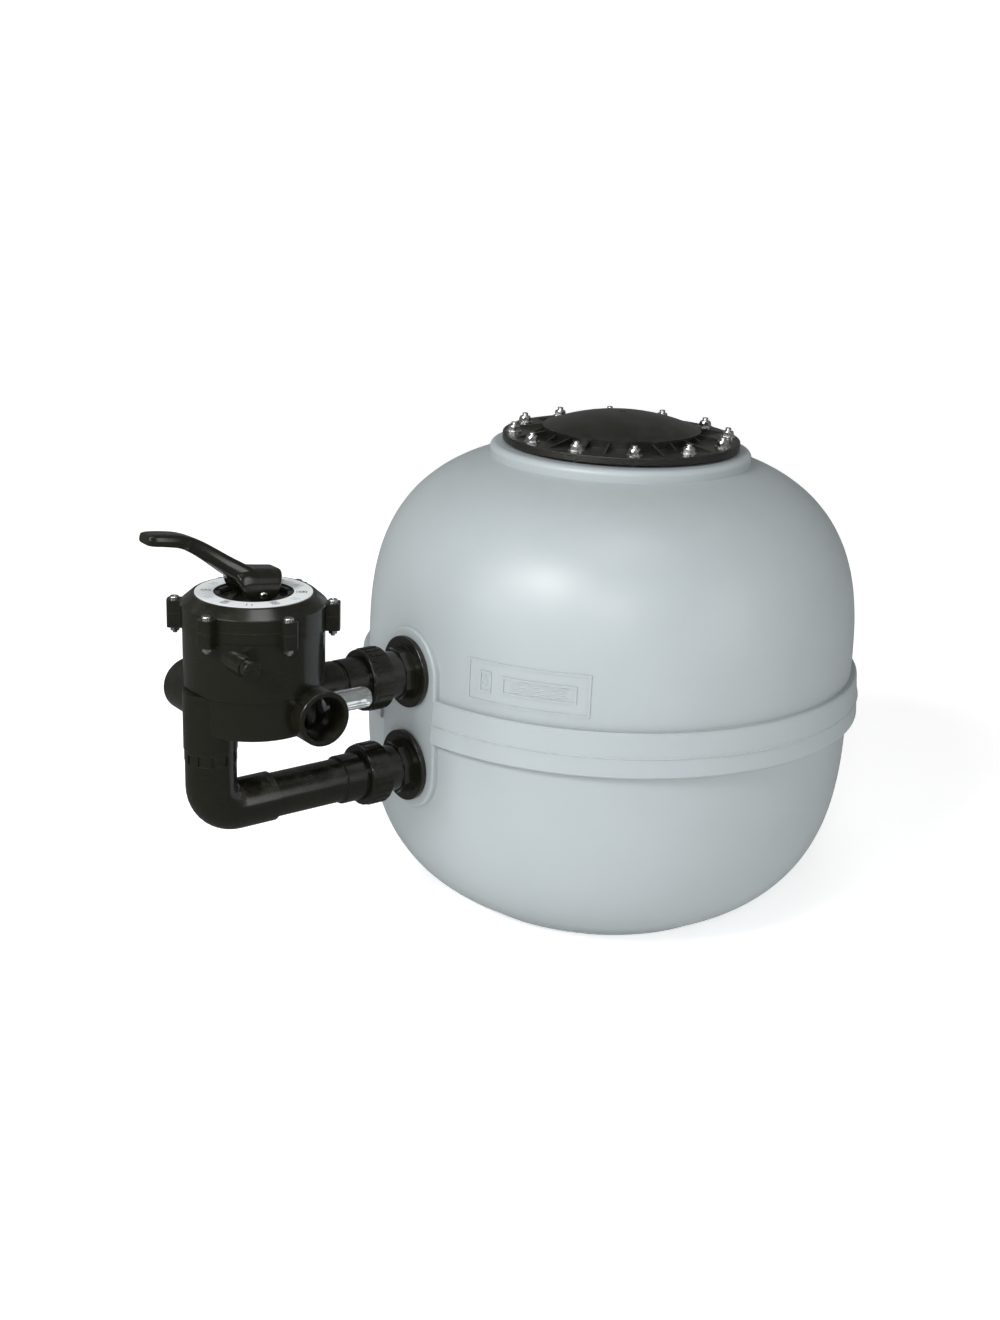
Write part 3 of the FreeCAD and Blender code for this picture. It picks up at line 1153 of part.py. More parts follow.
def top_diffuser():
    """Open funnel that turns the incoming water upwards and outwards."""
    a = PAD_A - DIFFUSER_A
    low = DIFFUSER_Z - DIFFUSER_H
    neck_r = INNER_BORE_R + INNER_SOCKET_WALL
    cone_z = low + 16.0
    rise = DIFFUSER_Z - cone_z
    neck = cylinder(neck_r, 16.0, spot(a, 0, low))
    cone = Part.makeCone(neck_r, DIFFUSER_R, rise, spot(a, 0, cone_z))
    room = Part.makeCone(neck_r - DIFFUSER_WALL, DIFFUSER_R - DIFFUSER_WALL, rise, spot(a, 0, cone_z))
    cuts = [room, cylinder(INNER_BORE_R, 15.0, spot(a, 0, low))]
    cuts.append(cylinder(INNER_PIPE_R - INNER_PIPE_WALL, 16.5, spot(a, 0, low)))
    solid = minus(fused([neck, cone]), cuts)
    slit = Part.makeBox(DIFFUSER_R, 3.0, rise - 9.0, spot(a + DIFFUSER_R, 1.5, cone_z + 5.0))
    return minus(solid, spread(slit, 12, spot(a, 0, 0), 0.0))


def lower_inner_pipe():
    start = inner_seat()
    end = PAD_A - SHANK_W + INNER_PLUG_L
    return inner_tube(spot(start, 0, LOWER_PORT_Z), end - start, OUT)


def centre_pipe():
    high = LOWER_PORT_Z - inner_seat()
    low = LATERAL_Z + COLLECTOR_H / 2.0 - 14.0
    return inner_tube(spot(0, 0, low), high - low, UP)


def collector_hub():
    low = LATERAL_Z - COLLECTOR_H / 2.0
    hub = cylinder(COLLECTOR_R, COLLECTOR_H, spot(0, 0, low))
    hub = hub.makeFillet(4.0, [e for e in hub.Edges if e.BoundBox.ZMin > low + COLLECTOR_H - 0.1])
    cuts = [cylinder(INNER_BORE_R, 15.0, spot(0, 0, low + COLLECTOR_H - 14.5))]
    cuts.append(cylinder(INNER_PIPE_R - INNER_PIPE_WALL, COLLECTOR_H - 5.0, spot(0, 0, low + 5.0)))
    socket = cylinder(LATERAL_R + SOCKET_GAP, COLLECTOR_R, turned(0, COLLECTOR_R - 12.0, LATERAL_Z), OUT)
    way = cylinder(LATERAL_R - LATERAL_WALL, COLLECTOR_R, spot(0, 0, LATERAL_Z), OUT)
    cuts += spread(socket, LATERAL_COUNT, ORIGIN) + spread(way, LATERAL_COUNT, ORIGIN)
    return minus(hub, cuts)


def laterals():
    start = COLLECTOR_R - 11.5
    end = shell_radius(LATERAL_Z - LATERAL_R, TANK_WALL) - LATERAL_CLEAR
    length = end - start
    finger = cylinder(LATERAL_R, length, spot(start, 0, LATERAL_Z), OUT)
    finger = finger.makeFillet(3.0, [e for e in finger.Edges if e.BoundBox.XMax < -end + 0.1])
    room = cylinder(LATERAL_R - LATERAL_WALL, length - LATERAL_WALL, spot(start, 0, LATERAL_Z), OUT)
    cuts = [room]
    run = length - 40.0
    for i in range(LATERAL_SLOTS):
        a = COLLECTOR_R + 14.0 + run * (i + 0.5) / LATERAL_SLOTS
        corner = Vector(-a, -LATERAL_R, LATERAL_Z - LATERAL_R - 2.0)
        cuts.append(Part.makeBox(SLOT_W, 2.0 * LATERAL_R, LATERAL_R - 1.0, corner))
    return Part.makeCompound(spread(minus(finger, cuts), LATERAL_COUNT, ORIGIN))


# ---------------------------------------------------------------- all pieces
PIECES = {
    "tank_lower_shell": lambda: tank_shell(False),
    "tank_upper_shell": lambda: tank_shell(True),
    "lid": lid,
    "lid_gasket": lid_gasket,
    "lid_studs": lid_studs,
    "lid_washers": lid_washers,
    "lid_nuts": lid_nuts,
    "upper_tank_connector": lambda: tank_connector(UPPER_PORT_Z),
    "lower_tank_connector": lambda: tank_connector(LOWER_PORT_Z),
    "upper_connector_seal": lambda: outer_seal(UPPER_PORT_Z),
    "lower_connector_seal": lambda: outer_seal(LOWER_PORT_Z),
    "upper_inner_seal": lambda: inner_seal(UPPER_PORT_Z),
    "lower_inner_seal": lambda: inner_seal(LOWER_PORT_Z),
    "upper_locknut": lambda: locknut(UPPER_PORT_Z),
    "lower_locknut": lambda: locknut(LOWER_PORT_Z),
    "upper_union_o_ring": lambda: union_o_ring(UPPER_PORT_Z),
    "lower_union_o_ring": lambda: union_o_ring(LOWER_PORT_Z),
    "upper_union_nut": lambda: union_nut(UPPER_PORT_Z),
    "lower_union_nut": lambda: union_nut(LOWER_PORT_Z),
    "upper_tailpiece": lambda: tailpiece(UPPER_PORT_Z),
    "lower_tailpiece": lambda: tailpiece(LOWER_PORT_Z),
    "upper_nipple": upper_nipple,
    "lower_pipe": lower_pipe,
    "riser_elbow": riser_elbow,
    "riser_adapter": riser_adapter,
    "valve_body": valve_body,
    "cover_o_ring": cover_o_ring,
    "valve_cover": valve_cover,
    "cover_screws": cover_screws,
    "cover_nuts": cover_nuts,
    "position_label": position_label,
    "spider_gasket": spider_gasket,
    "rotor": rotor,
    "stem_o_ring": stem_o_ring,
    "rotor_spring": rotor_spring,
    "spring_washer": spring_washer,
    "slip_washer": slip_washer,
    "handle_pin": handle_pin,
    "handle": handle,
    "sight_glass": sight_glass,
    "sight_glass_o_ring": sight_glass_o_ring,
    "gauge_plug": gauge_plug,
    "gauge_plug_o_ring": gauge_plug_o_ring,
    "drain_plug": drain_plug,
    "drain_seal": drain_seal,
    "upper_inner_pipe": upper_inner_pipe,
    "upper_inner_elbow": lambda: inner_elbow(PAD_A - DIFFUSER_A, UPPER_PORT_Z, True),
    "diffuser_riser": diffuser_riser,
    "top_diffuser": top_diffuser,
    "lower_inner_pipe": lower_inner_pipe,
    "lower_inner_elbow": lambda: inner_elbow(0.0, LOWER_PORT_Z, False),
    "centre_pipe": centre_pipe,
    "collector_hub": collector_hub,
    "laterals": laterals,
}

os.makedirs("parts", exist_ok=True)
for name, make in PIECES.items():
    shape = make()
    counts = [s.isValid() and s.Volume > 0 for s in shape.Solids]
    print(name, "solids", len(counts), "volume", round(shape.Volume), "ok", all(counts) and bool(counts))
    if not counts or not all(counts):
        raise RuntimeError("bad solid in " + name)
    shape.exportStep("parts/" + name + ".step")
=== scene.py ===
import math
import bmesh
import bpy
from bpy.props import FloatProperty, FloatVectorProperty, IntProperty, PointerProperty
from bpy.types import Operator, Panel, PropertyGroup
from mathutils import Matrix, Vector
from mathutils.bvhtree import BVHTree


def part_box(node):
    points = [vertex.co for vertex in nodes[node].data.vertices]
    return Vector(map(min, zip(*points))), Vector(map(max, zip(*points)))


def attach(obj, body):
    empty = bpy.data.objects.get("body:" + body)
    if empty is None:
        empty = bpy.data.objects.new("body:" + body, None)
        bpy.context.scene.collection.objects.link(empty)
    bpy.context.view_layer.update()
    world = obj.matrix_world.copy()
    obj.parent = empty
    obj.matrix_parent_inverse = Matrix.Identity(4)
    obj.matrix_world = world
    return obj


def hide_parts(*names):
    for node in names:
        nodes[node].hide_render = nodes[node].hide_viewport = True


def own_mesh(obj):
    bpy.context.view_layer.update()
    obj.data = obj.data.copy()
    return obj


bl_info = {
    "name": "Sand Filter Finish",
    "version": (1, 0, 0),
    "blender": (4, 5, 0),
    "location": "View3D > Sidebar > Filter",
    "description": "Finishes a side-mount sand filter: tank, bolted lid, unions, selector valve and lever",
    "category": "Object",
}

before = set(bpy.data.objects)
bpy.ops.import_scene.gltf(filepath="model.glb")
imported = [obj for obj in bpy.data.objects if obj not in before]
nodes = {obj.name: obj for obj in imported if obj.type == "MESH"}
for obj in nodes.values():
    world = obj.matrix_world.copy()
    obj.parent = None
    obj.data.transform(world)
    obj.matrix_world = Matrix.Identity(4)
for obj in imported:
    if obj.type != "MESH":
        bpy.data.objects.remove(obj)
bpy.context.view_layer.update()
MM = 0.001


def middle(node):
    """Middle of a node's box."""
    low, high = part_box(node)
    return (low + high) / 2


ALONG = Vector((1.0, 0.0, 0.0))
ACROSS = Vector((0.0, 1.0, 0.0))
UP = Vector((0.0, 0.0, 1.0))

# The selector valve's axis and the lever's pin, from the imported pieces.
VALVE_X = middle("slip_washer").x
PIN = middle("handle_pin")


# ---------------------------------------------------------------- sizes and colours
def length(name, description, default):
    return FloatProperty(name=name, description=description, default=default, unit="LENGTH", min=0.0)


def colour(name, description, default):
    return FloatVectorProperty(
        name=name, description=description, default=default, size=3, subtype="COLOR", min=0.0, max=1.0
    )


class FilterSizes(PropertyGroup):
    thread_pitch: length("Thread pitch", "Pitch of the lid's studs", 1.25 * MM)
    thread_depth: length("Thread depth", "Depth of the thread on the lid's studs", 0.55 * MM)
    stud_radius: length("Stud radius", "Outside radius of the lid's studs", 3.85 * MM)
    mark_line: length("Label line", "Width of the lines printed on the label", 1.2 * MM)
    relief: length("Relief", "Height of the waves moulded on the tank's plaque", 0.9 * MM)
    bead: length("Cement bead", "Half thickness of the cement bead round a glued pipe", 0.75 * MM)
    spring_turns: IntProperty(
        name="Spring turns", description="Free turns of the rotor's spring", default=5, min=2
    )
    spring_wire: length("Spring wire", "Radius of the spring's wire", 2.1 * MM)
    lever_voxel: length("Lever fineness", "Edge length of the lever's mesh while it is blended", 0.8 * MM)
    pin_slot: length("Fork slot", "Half width of the slot between the lever's cheeks", 11.3 * MM)


class FilterColours(PropertyGroup):
    tank: colour("Tank", "Moulded grey of the tank", (0.286, 0.318, 0.328))
    black: colour("Black plastic", "Valve, unions and fittings", (0.0066, 0.0066, 0.0040))
    lid: colour("Lid", "Filled plastic of the lid", (0.0072, 0.0072, 0.0046))
    rubber: colour("Rubber", "Seals and rings", (0.016, 0.016, 0.016))
    steel: colour("Steel", "Studs, nuts, screws and washers", (0.66, 0.67, 0.66))
    label: colour("Label film", "White of the position label", (0.72, 0.75, 0.76))
    ink: colour("Label ink", "Grey of the printed symbols", (0.09, 0.11, 0.12))
    inner: colour("Inner pipes", "White plastic inside the tank", (0.70, 0.71, 0.68))
    glass: colour("Sight glass", "Clear plastic of the sight glass", (0.86, 0.90, 0.90))
    floor: colour("Floor", "Studio floor", (0.93, 0.93, 0.93))


def sizes():
    return bpy.context.scene.filter_sizes


def colours():
    return bpy.context.scene.filter_colours


# ---------------------------------------------------------------- node groups
def add_node(tree, kind, **settings):
    node = tree.nodes.new("ShaderNode" + kind)
    for key, value in settings.items():
        setattr(node, key, value)
    return node


def math_node(tree, operation, first, second=None):
    """Math node; a socket is linked and a number is set."""
    node = add_node(tree, "Math", operation=operation)
    for socket, value in zip(node.inputs, (first, second)):
        if isinstance(value, bpy.types.NodeSocket):
            tree.links.new(value, socket)
        elif value is not None:
            socket.default_value = value
    return node.outputs[0]


def map_range(tree, value, low, high, to_low=0.0, to_high=1.0):
    node = add_node(tree, "MapRange")
    tree.links.new(value, node.inputs["Value"])
    for name, number in (("From Min", low), ("From Max", high), ("To Min", to_low), ("To Max", to_high)):
        node.inputs[name].default_value = number
    return node.outputs["Result"]


def noise(tree, vector, scale, detail=2.0, roughness=0.5):
    node = add_node(tree, "TexNoise")
    tree.links.new(vector, node.inputs["Vector"])
    if isinstance(scale, bpy.types.NodeSocket):
        tree.links.new(scale, node.inputs["Scale"])
    else:
        node.inputs["Scale"].default_value = scale
    node.inputs["Detail"].default_value = detail
    node.inputs["Roughness"].default_value = roughness
    return node.outputs[0]


def new_group(name, inputs, outputs):
    """Empty node group with float sockets: inputs are (name, default) pairs."""
    tree = bpy.data.node_groups.new(name, "ShaderNodeTree")
    for label, default in inputs:
        socket = tree.interface.new_socket(label, in_out="INPUT", socket_type="NodeSocketFloat")
        socket.default_value = default
    for label in outputs:
        tree.interface.new_socket(label, in_out="OUTPUT", socket_type="NodeSocketFloat")
    return tree, tree.nodes.new("NodeGroupInput"), tree.nodes.new("NodeGroupOutput")


def shared_group(name, build):
    return bpy.data.node_groups.get(name) or build(name)


def moulded_skin(name):
    """Fine moulded grain over soft waves, with slow clouding of the colour and small flecks."""
    inputs = (("Grain Scale", 900.0), ("Grain", 1.0), ("Waves", 0.4))
    tree, start, end = new_group(name, inputs, ("Height", "Cloud", "Fleck"))
    place = add_node(tree, "TexCoord").outputs["Object"]
    fine = noise(tree, place, start.outputs["Grain Scale"], 3.0, 0.6)
    wave = noise(tree, place, 55.0, 2.0)
    grain = math_node(tree, "MULTIPLY", fine, start.outputs["Grain"])
    peel = math_node(tree, "MULTIPLY", wave, start.outputs["Waves"])
    tree.links.new(math_node(tree, "ADD", grain, peel), end.inputs["Height"])
    cloud = noise(tree, place, 6.0, 4.0, 0.55)
    tree.links.new(map_range(tree, cloud, 0.3, 0.7), end.inputs["Cloud"])
    fleck = noise(tree, place, 420.0, 1.0)
    tree.links.new(map_range(tree, fleck, 0.70, 0.76), end.inputs["Fleck"])
    return tree


def worn_and_highlit_edges(name):
    """Mask of the sharp edges, broken up by noise: where they are rubbed, and on black plastic also where an
    edge highlight is painted.
    """
    tree, start, end = new_group(name, (("Width", 0.0008), ("Breakup", 140.0)), ("Mask",))
    bevel = add_node(tree, "Bevel", samples=6)
    tree.links.new(start.outputs["Width"], bevel.inputs["Radius"])
    geometry = add_node(tree, "NewGeometry")
    dot = add_node(tree, "VectorMath", operation="DOT_PRODUCT")
    tree.links.new(bevel.outputs["Normal"], dot.inputs[0])
    tree.links.new(geometry.outputs["Normal"], dot.inputs[1])
    edge = map_range(tree, dot.outputs["Value"], 0.985, 0.80)
    place = add_node(tree, "TexCoord").outputs["Object"]
    patchy = noise(tree, place, start.outputs["Breakup"], 4.0, 0.6)
    tree.links.new(math_node(tree, "MULTIPLY", edge, map_range(tree, patchy, 0.35, 0.62)), end.inputs["Mask"])
    return tree


def settled_dust(name):
    """Thin dust on what faces up, in patches."""
    tree, start, end = new_group(name, (("Amount", 0.3),), ("Mask",))
    normal = add_node(tree, "NewGeometry").outputs["Normal"]
    split = add_node(tree, "SeparateXYZ")
    tree.links.new(normal, split.inputs[0])
    facing = map_range(tree, split.outputs["Z"], 0.25, 1.0)
    place = add_node(tree, "TexCoord").outputs["Object"]
    patches = map_range(tree, noise(tree, place, 38.0, 6.0, 0.62), 0.42, 0.72)
    mask = math_node(tree, "MULTIPLY", facing, patches)
    tree.links.new(math_node(tree, "MULTIPLY", mask, start.outputs["Amount"]), end.inputs["Mask"])
    return tree


def fine_scuffs(name):
    """Mask of hair-fine scuffs that run about level."""
    tree, start, end = new_group(name, (("Amount", 0.5),), ("Mask",))
    place = add_node(tree, "TexCoord").outputs["Object"]
    stretch = add_node(tree, "Mapping")
    stretch.inputs["Scale"].default_value = (45.0, 60.0, 900.0)
    stretch.inputs["Rotation"].default_value = (0.35, 0.2, 0.0)
    tree.links.new(place, stretch.inputs["Vector"])
    hair = noise(tree, stretch.outputs[0], 1.0, 3.0, 0.6)
    area = map_range(tree, noise(tree, place, 30.0, 2.0), 0.45, 0.65)
    line = map_range(tree, hair, 0.60, 0.70)
    mask = math_node(tree, "MULTIPLY", line, area)
    tree.links.new(math_node(tree, "MULTIPLY", mask, start.outputs["Amount"]), end.inputs["Mask"])
    return tree


def use_group(tree, name, build, **values):
    node = tree.nodes.new("ShaderNodeGroup")
    node.node_tree = shared_group(name, build)
    for label, value in values.items():
        node.inputs[label.replace("_", " ")].default_value = value
    return node


# ---------------------------------------------------------------- materials
def mix_colour(tree, factor, first, second):
    node = add_node(tree, "Mix", data_type="RGBA")
    tree.links.new(factor, node.inputs["Factor"])
    for socket, value in ((node.inputs[6], first), (node.inputs[7], second)):
        if isinstance(value, bpy.types.NodeSocket):
            tree.links.new(value, socket)
        else:
            socket.default_value = (*value, 1.0)
    return node.outputs[2]


def shade(rgb, factor):
    return tuple(min(1.0, c * factor) for c in rgb)


def start_material(name):
    """Material with a Principled shader, and its tree and shader."""
    material = bpy.data.materials.new(name)
    material.use_nodes = True
    tree = material.node_tree
    return material, tree, tree.nodes["Principled BSDF"]


def add_bump(tree, shader, height, strength, distance):
    bump = add_node(tree, "Bump")
    bump.inputs["Strength"].default_value = strength
    bump.inputs["Distance"].default_value = distance
    tree.links.new(height, bump.inputs["Height"])
    tree.links.new(bump.outputs["Normal"], shader.inputs["Normal"])


def moulded_plastic(name, rgb, roughness, grain=1.0, waves=0.4, grain_scale=900.0, clouding=0.06,
                    edge_wear_and_highlight=None, edge_mark_width=0.0008, dust=0.0, dust_rgb=(0.42, 0.41, 0.38), scuffs=0.3,
                    bump=0.25, depth=0.00025, coat=0.0):
    """Moulded plastic with grain, clouding, scuffs and dust; where an edge colour is given, the edges take
    it: rubbed wear, and on the black plastics partly a painted edge highlight.
    """
    material, tree, shader = start_material(name)
    skin = use_group(tree, "Moulded Skin", moulded_skin, Grain_Scale=grain_scale, Grain=grain, Waves=waves)
    scuff = use_group(tree, "Fine Scuffs", fine_scuffs, Amount=scuffs)
    settled = use_group(tree, "Settled Dust", settled_dust, Amount=dust)
    base = mix_colour(tree, skin.outputs["Cloud"], shade(rgb, 1.0 - clouding), shade(rgb, 1.0 + clouding))
    base = mix_colour(tree, math_node(tree, "MULTIPLY", skin.outputs["Fleck"], 0.25), base, shade(rgb, 0.8))
    base = mix_colour(tree, settled.outputs["Mask"], base, dust_rgb)
    # Edges in the given colour: rubbed wear, and on the black plastics also a painted highlight along edges
    # and steps.
    if edge_wear_and_highlight:
        edges = use_group(tree, "Worn Edges", worn_and_highlit_edges, Width=edge_mark_width, Breakup=140.0)
        base = mix_colour(tree, edges.outputs["Mask"], base, edge_wear_and_highlight)
    tree.links.new(base, shader.inputs["Base Color"])
    rough = map_range(tree, skin.outputs["Cloud"], 0.0, 1.0, roughness - 0.03, roughness + 0.04)
    scuffed = scuff.outputs["Mask"]
    rough = math_node(tree, "ADD", rough, math_node(tree, "MULTIPLY", scuffed, 0.22))
    rough = math_node(tree, "ADD", rough, math_node(tree, "MULTIPLY", settled.outputs["Mask"], 0.35))
    tree.links.new(rough, shader.inputs["Roughness"])
    shader.inputs["Coat Weight"].default_value = coat
    shader.inputs["Coat Roughness"].default_value = 0.12
    height = math_node(tree, "SUBTRACT", skin.outputs["Height"], math_node(tree, "MULTIPLY", scuffed, 0.3))
    add_bump(tree, shader, height, bump, depth)
    return material


def metal(name, rgb, roughness, line_scale=900.0, bump=0.2):
    """Bright metal with fine turned lines, dulled in patches."""
    material, tree, shader = start_material(name)
    place = add_node(tree, "TexCoord").outputs["Object"]
    stretch = add_node(tree, "Mapping")
    stretch.inputs["Scale"].default_value = (0.12, 0.12, 1.0)
    tree.links.new(place, stretch.inputs["Vector"])
    lines = noise(tree, stretch.outputs[0], line_scale, 3.0, 0.7)
    patches = map_range(tree, noise(tree, place, 160.0, 3.0), 0.35, 0.7)
    base = mix_colour(tree, patches, rgb, shade(rgb, 0.78))
    tree.links.new(base, shader.inputs["Base Color"])
    rough = map_range(tree, patches, 0.0, 1.0, roughness, roughness + 0.16)
    tree.links.new(rough, shader.inputs["Roughness"])
    shader.inputs["Metallic"].default_value = 1.0
    add_bump(tree, shader, lines, bump, 0.00012)
    return material


def steel(name):
    return metal(name, tuple(colours().steel), 0.20)


def polished_steel(name):
    return metal(name, (0.78, 0.79, 0.79), 0.10, bump=0.08)


def spring_steel(name):
    return metal(name, (0.48, 0.48, 0.46), 0.26)


def black_plastic(name, roughness=0.22, dust=0.05, grain=0.25):
    rgb = tuple(colours().black)
    # The lighter edge colour here is partly rubbed wear and partly a painted highlight along edges and steps.
    return moulded_plastic(name, rgb, roughness, grain=grain, waves=0.35, grain_scale=1400.0, clouding=0.12,
                           edge_wear_and_highlight=(0.040, 0.040, 0.033), edge_mark_width=0.0006, dust=dust, scuffs=0.45,
                           bump=0.18, depth=0.0002)


def handle_plastic(name):
    return black_plastic(name, roughness=0.17, dust=0.05)


def valve_plastic(name):
    return black_plastic(name, roughness=0.19)


def pipe_plastic(name):
    return black_plastic(name, roughness=0.20, dust=0.12, grain=0.2)


def rubber(name):
    rgb = tuple(colours().rubber)
    return moulded_plastic(name, rgb, 0.62, grain=1.0, waves=0.2, grain_scale=2200.0, clouding=0.10,
                           dust=0.35, scuffs=0.1, bump=0.35, depth=0.0002)


def inner_plastic(name):
    rgb = tuple(colours().inner)
    return moulded_plastic(name, rgb, 0.42, grain=0.6, waves=0.5, clouding=0.05, edge_wear_and_highlight=(0.80, 0.80, 0.78),
                           dust=0.12, dust_rgb=(0.45, 0.40, 0.30), scuffs=0.35)


def tank_plastic(name):
    """Satin moulded grey; its waves are broad and its grain is fine."""
    rgb = tuple(colours().tank)
    return moulded_plastic(name, rgb, 0.40, grain=0.5, waves=1.0, grain_scale=700.0, clouding=0.022,
                           edge_wear_and_highlight=shade(rgb, 1.18), edge_mark_width=0.0016, dust=0.05,
                           dust_rgb=(0.50, 0.50, 0.47), scuffs=0.35, bump=0.16, depth=0.0004)


GRAINY_RIM = 12.0 * MM    # width of the lid's grainy rim


def lid_plastic(name):
    """Filled plastic: satin on the dome and grainy towards the rim."""
    rgb = tuple(colours().lid)
    material = moulded_plastic(name, rgb, 0.28, grain=0.5, waves=0.4, grain_scale=800.0, clouding=0.12,
                               edge_wear_and_highlight=(0.05, 0.05, 0.042), edge_mark_width=0.0008, dust=0.03, scuffs=0.35,
                               bump=0.22, depth=0.0003)
    tree = material.node_tree
    shader = tree.nodes["Principled BSDF"]
    place = add_node(tree, "TexCoord").outputs["Object"]
    split = add_node(tree, "SeparateXYZ")
    tree.links.new(place, split.inputs[0])
    across = add_node(tree, "CombineXYZ")
    tree.links.new(split.outputs["X"], across.inputs["X"])
    tree.links.new(split.outputs["Y"], across.inputs["Y"])
    radius = add_node(tree, "VectorMath", operation="LENGTH")
    tree.links.new(across.outputs[0], radius.inputs[0])
    rim_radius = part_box("lid")[1].x
    rim = map_range(tree, radius.outputs["Value"], rim_radius - GRAINY_RIM, rim_radius)
    coarse = noise(tree, place, 520.0, 4.0, 0.7)
    fine_bump = shader.inputs["Normal"].links[0].from_node
    bump = add_node(tree, "Bump")
    bump.inputs["Distance"].default_value = 0.0008
    tree.links.new(math_node(tree, "MULTIPLY", rim, coarse), bump.inputs["Height"])
    tree.links.new(fine_bump.outputs["Normal"], bump.inputs["Normal"])
    tree.links.new(bump.outputs["Normal"], shader.inputs["Normal"])
    return material


def label_film(name):
    rgb = tuple(colours().label)
    return moulded_plastic(name, rgb, 0.36, grain=0.3, waves=0.6, grain_scale=500.0, clouding=0.03,
                           edge_wear_and_highlight=shade(rgb, 0.75), edge_mark_width=0.0005, dust=0.10, scuffs=0.5, bump=0.12)


def label_ink(name):
    """Printed grey that has thinned in places."""
    material, tree, shader = start_material(name)
    place = add_node(tree, "TexCoord").outputs["Object"]
    thin = map_range(tree, noise(tree, place, 700.0, 3.0, 0.7), 0.50, 0.75)
    ink = tuple(colours().ink)
    tree.links.new(mix_colour(tree, thin, ink, shade(ink, 1.7)), shader.inputs["Base Color"])
    tree.links.new(map_range(tree, thin, 0.0, 1.0, 0.42, 0.55), shader.inputs["Roughness"])
    add_bump(tree, shader, thin, 0.1, 0.00005)
    return material


def clear_plastic(name):
    """Clear moulded plastic with faint flow lines."""
    material, tree, shader = start_material(name)
    skin = use_group(tree, "Moulded Skin", moulded_skin, Grain_Scale=300.0, Grain=0.05, Waves=0.6)
    rgb = tuple(colours().glass)
    cloud = skin.outputs["Cloud"]
    tree.links.new(mix_colour(tree, cloud, rgb, shade(rgb, 0.94)), shader.inputs["Base Color"])
    tree.links.new(map_range(tree, cloud, 0.0, 1.0, 0.04, 0.10), shader.inputs["Roughness"])
    shader.inputs["Transmission Weight"].default_value = 0.92
    shader.inputs["IOR"].default_value = 1.49
    add_bump(tree, shader, skin.outputs["Height"], 0.06, 0.0002)
    return material


def cement(name):
    """Hardened solvent cement: glossy, a little lighter than the pipe."""
    return moulded_plastic(name, (0.020, 0.020, 0.017), 0.16, grain=0.2, waves=1.0, grain_scale=500.0,
                           clouding=0.25, dust=0.06, scuffs=0.1, bump=0.5, depth=0.0005)


def material_of(name, make):
    """Finish of that name, made once."""
    name = name + "_finish"
    return bpy.data.materials.get(name) or make(name)


def dress(names, material):
    """Gives CAD nodes a material."""
    for name in names:
        mesh = nodes[name].data
        mesh.materials.clear()
        mesh.materials.append(material)
        for polygon in mesh.polygons:
            polygon.material_index = 0


# ---------------------------------------------------------------- meshes
def mesh_object(name, bm, material, smooth=True):
    bmesh.ops.recalc_face_normals(bm, faces=bm.faces)
    mesh = bpy.data.meshes.new(name)
    bm.to_mesh(mesh)
    bm.free()
    mesh.materials.append(material)
    for polygon in mesh.polygons:
        polygon.use_smooth = smooth
    obj = bpy.data.objects.new(name, mesh)
    bpy.context.scene.collection.objects.link(obj)
    return obj


def bridge(bm, rings, close_ends=True):
    """Skin over rings of vertices; the first and last are capped."""
    count = len(rings[0])
    for low, high in zip(rings, rings[1:]):
        for i in range(count):
            j = (i + 1) % count
            bm.faces.new((low[i], low[j], high[j], high[i]))
    if close_ends:
        bm.faces.new(rings[0][::-1])
        bm.faces.new(rings[-1])


def modify(obj, kind, **settings):
    """Adds a modifier and applies it."""
    modifier = obj.modifiers.new(kind.title(), kind)
    for key, value in settings.items():
        setattr(modifier, key, value)
    bpy.context.view_layer.objects.active = obj
    bpy.ops.object.modifier_apply(modifier=modifier.name)


def tube_along(bm, points, radius, sides=10, closed=False):
    """Round tube along points; radius may be a number or a function of the point's index."""
    count = len(points)
    rings = []
    normal = None
    for k, point in enumerate(points):
        before = points[k - 1] if closed or k else point
        after = points[(k + 1) % count] if closed or k < count - 1 else point
        way = (after - before).normalized()
        if normal is None:
            normal = way.orthogonal()
        normal = (normal - way * normal.dot(way)).normalized()
        side = way.cross(normal)
        r = radius(k) if callable(radius) else radius
        ring = []
        for i in range(sides):
            t = 2.0 * math.pi * i / sides
            ring.append(bm.verts.new(point + normal * math.cos(t) * r + side * math.sin(t) * r))
        rings.append(ring)
    if closed:
        rings.append(rings[0])
    bridge(bm, rings, not closed)


THREAD_STEPS = 6          # rings to one turn of a thread


def threaded_rod(bm, centre, low, high, radius, pitch, depth, sides=20):
    """Rod with a helical thread from low to high; its end is drawn in below the thread's root."""
    rows = int((high - low) / pitch * THREAD_STEPS)
    root = radius - depth
    end = root - 0.24 * depth
    rings = []
    for k in range(rows + 1):
        z = low + (high - low) * k / rows
        ring = []
        for i in range(sides):
            t = 2.0 * math.pi * i / sides
            turn = (z / pitch - i / sides) % 1.0
            r = radius - depth * abs(2.0 * turn - 1.0)
            r = min(r, end + max(0.0, high - z))
            ring.append(bm.verts.new(centre + Vector((r * math.cos(t), r * math.sin(t), z))))
        rings.append(ring)
    bridge(bm, rings)


def catmull(points, per_span):
    """Points on a smooth curve through tuples of any length."""
    out = []
    last = len(points) - 1
    for s in range(last):
        p0, p1, p2, p3 = (points[max(0, min(last, s + d))] for d in (-1, 0, 1, 2))
        for k in range(per_span):
            t = k / per_span
            out.append(tuple(
                0.5 * (2 * b + (c - a) * t + (2 * a - 5 * b + 4 * c - d) * t * t
                       + (3 * b - a - 3 * c + d) * t ** 3)
                for a, b, c, d in zip(p0, p1, p2, p3)
            ))
    out.append(points[-1])
    return out


# ---------------------------------------------------------------- pieces
def wall_tree():
    """Search tree over the upper shell, for relief that lies on it."""
    mesh = nodes["tank_upper_shell"].data
    return BVHTree.FromPolygons([v.co for v in mesh.vertices], [p.vertices for p in mesh.polygons])


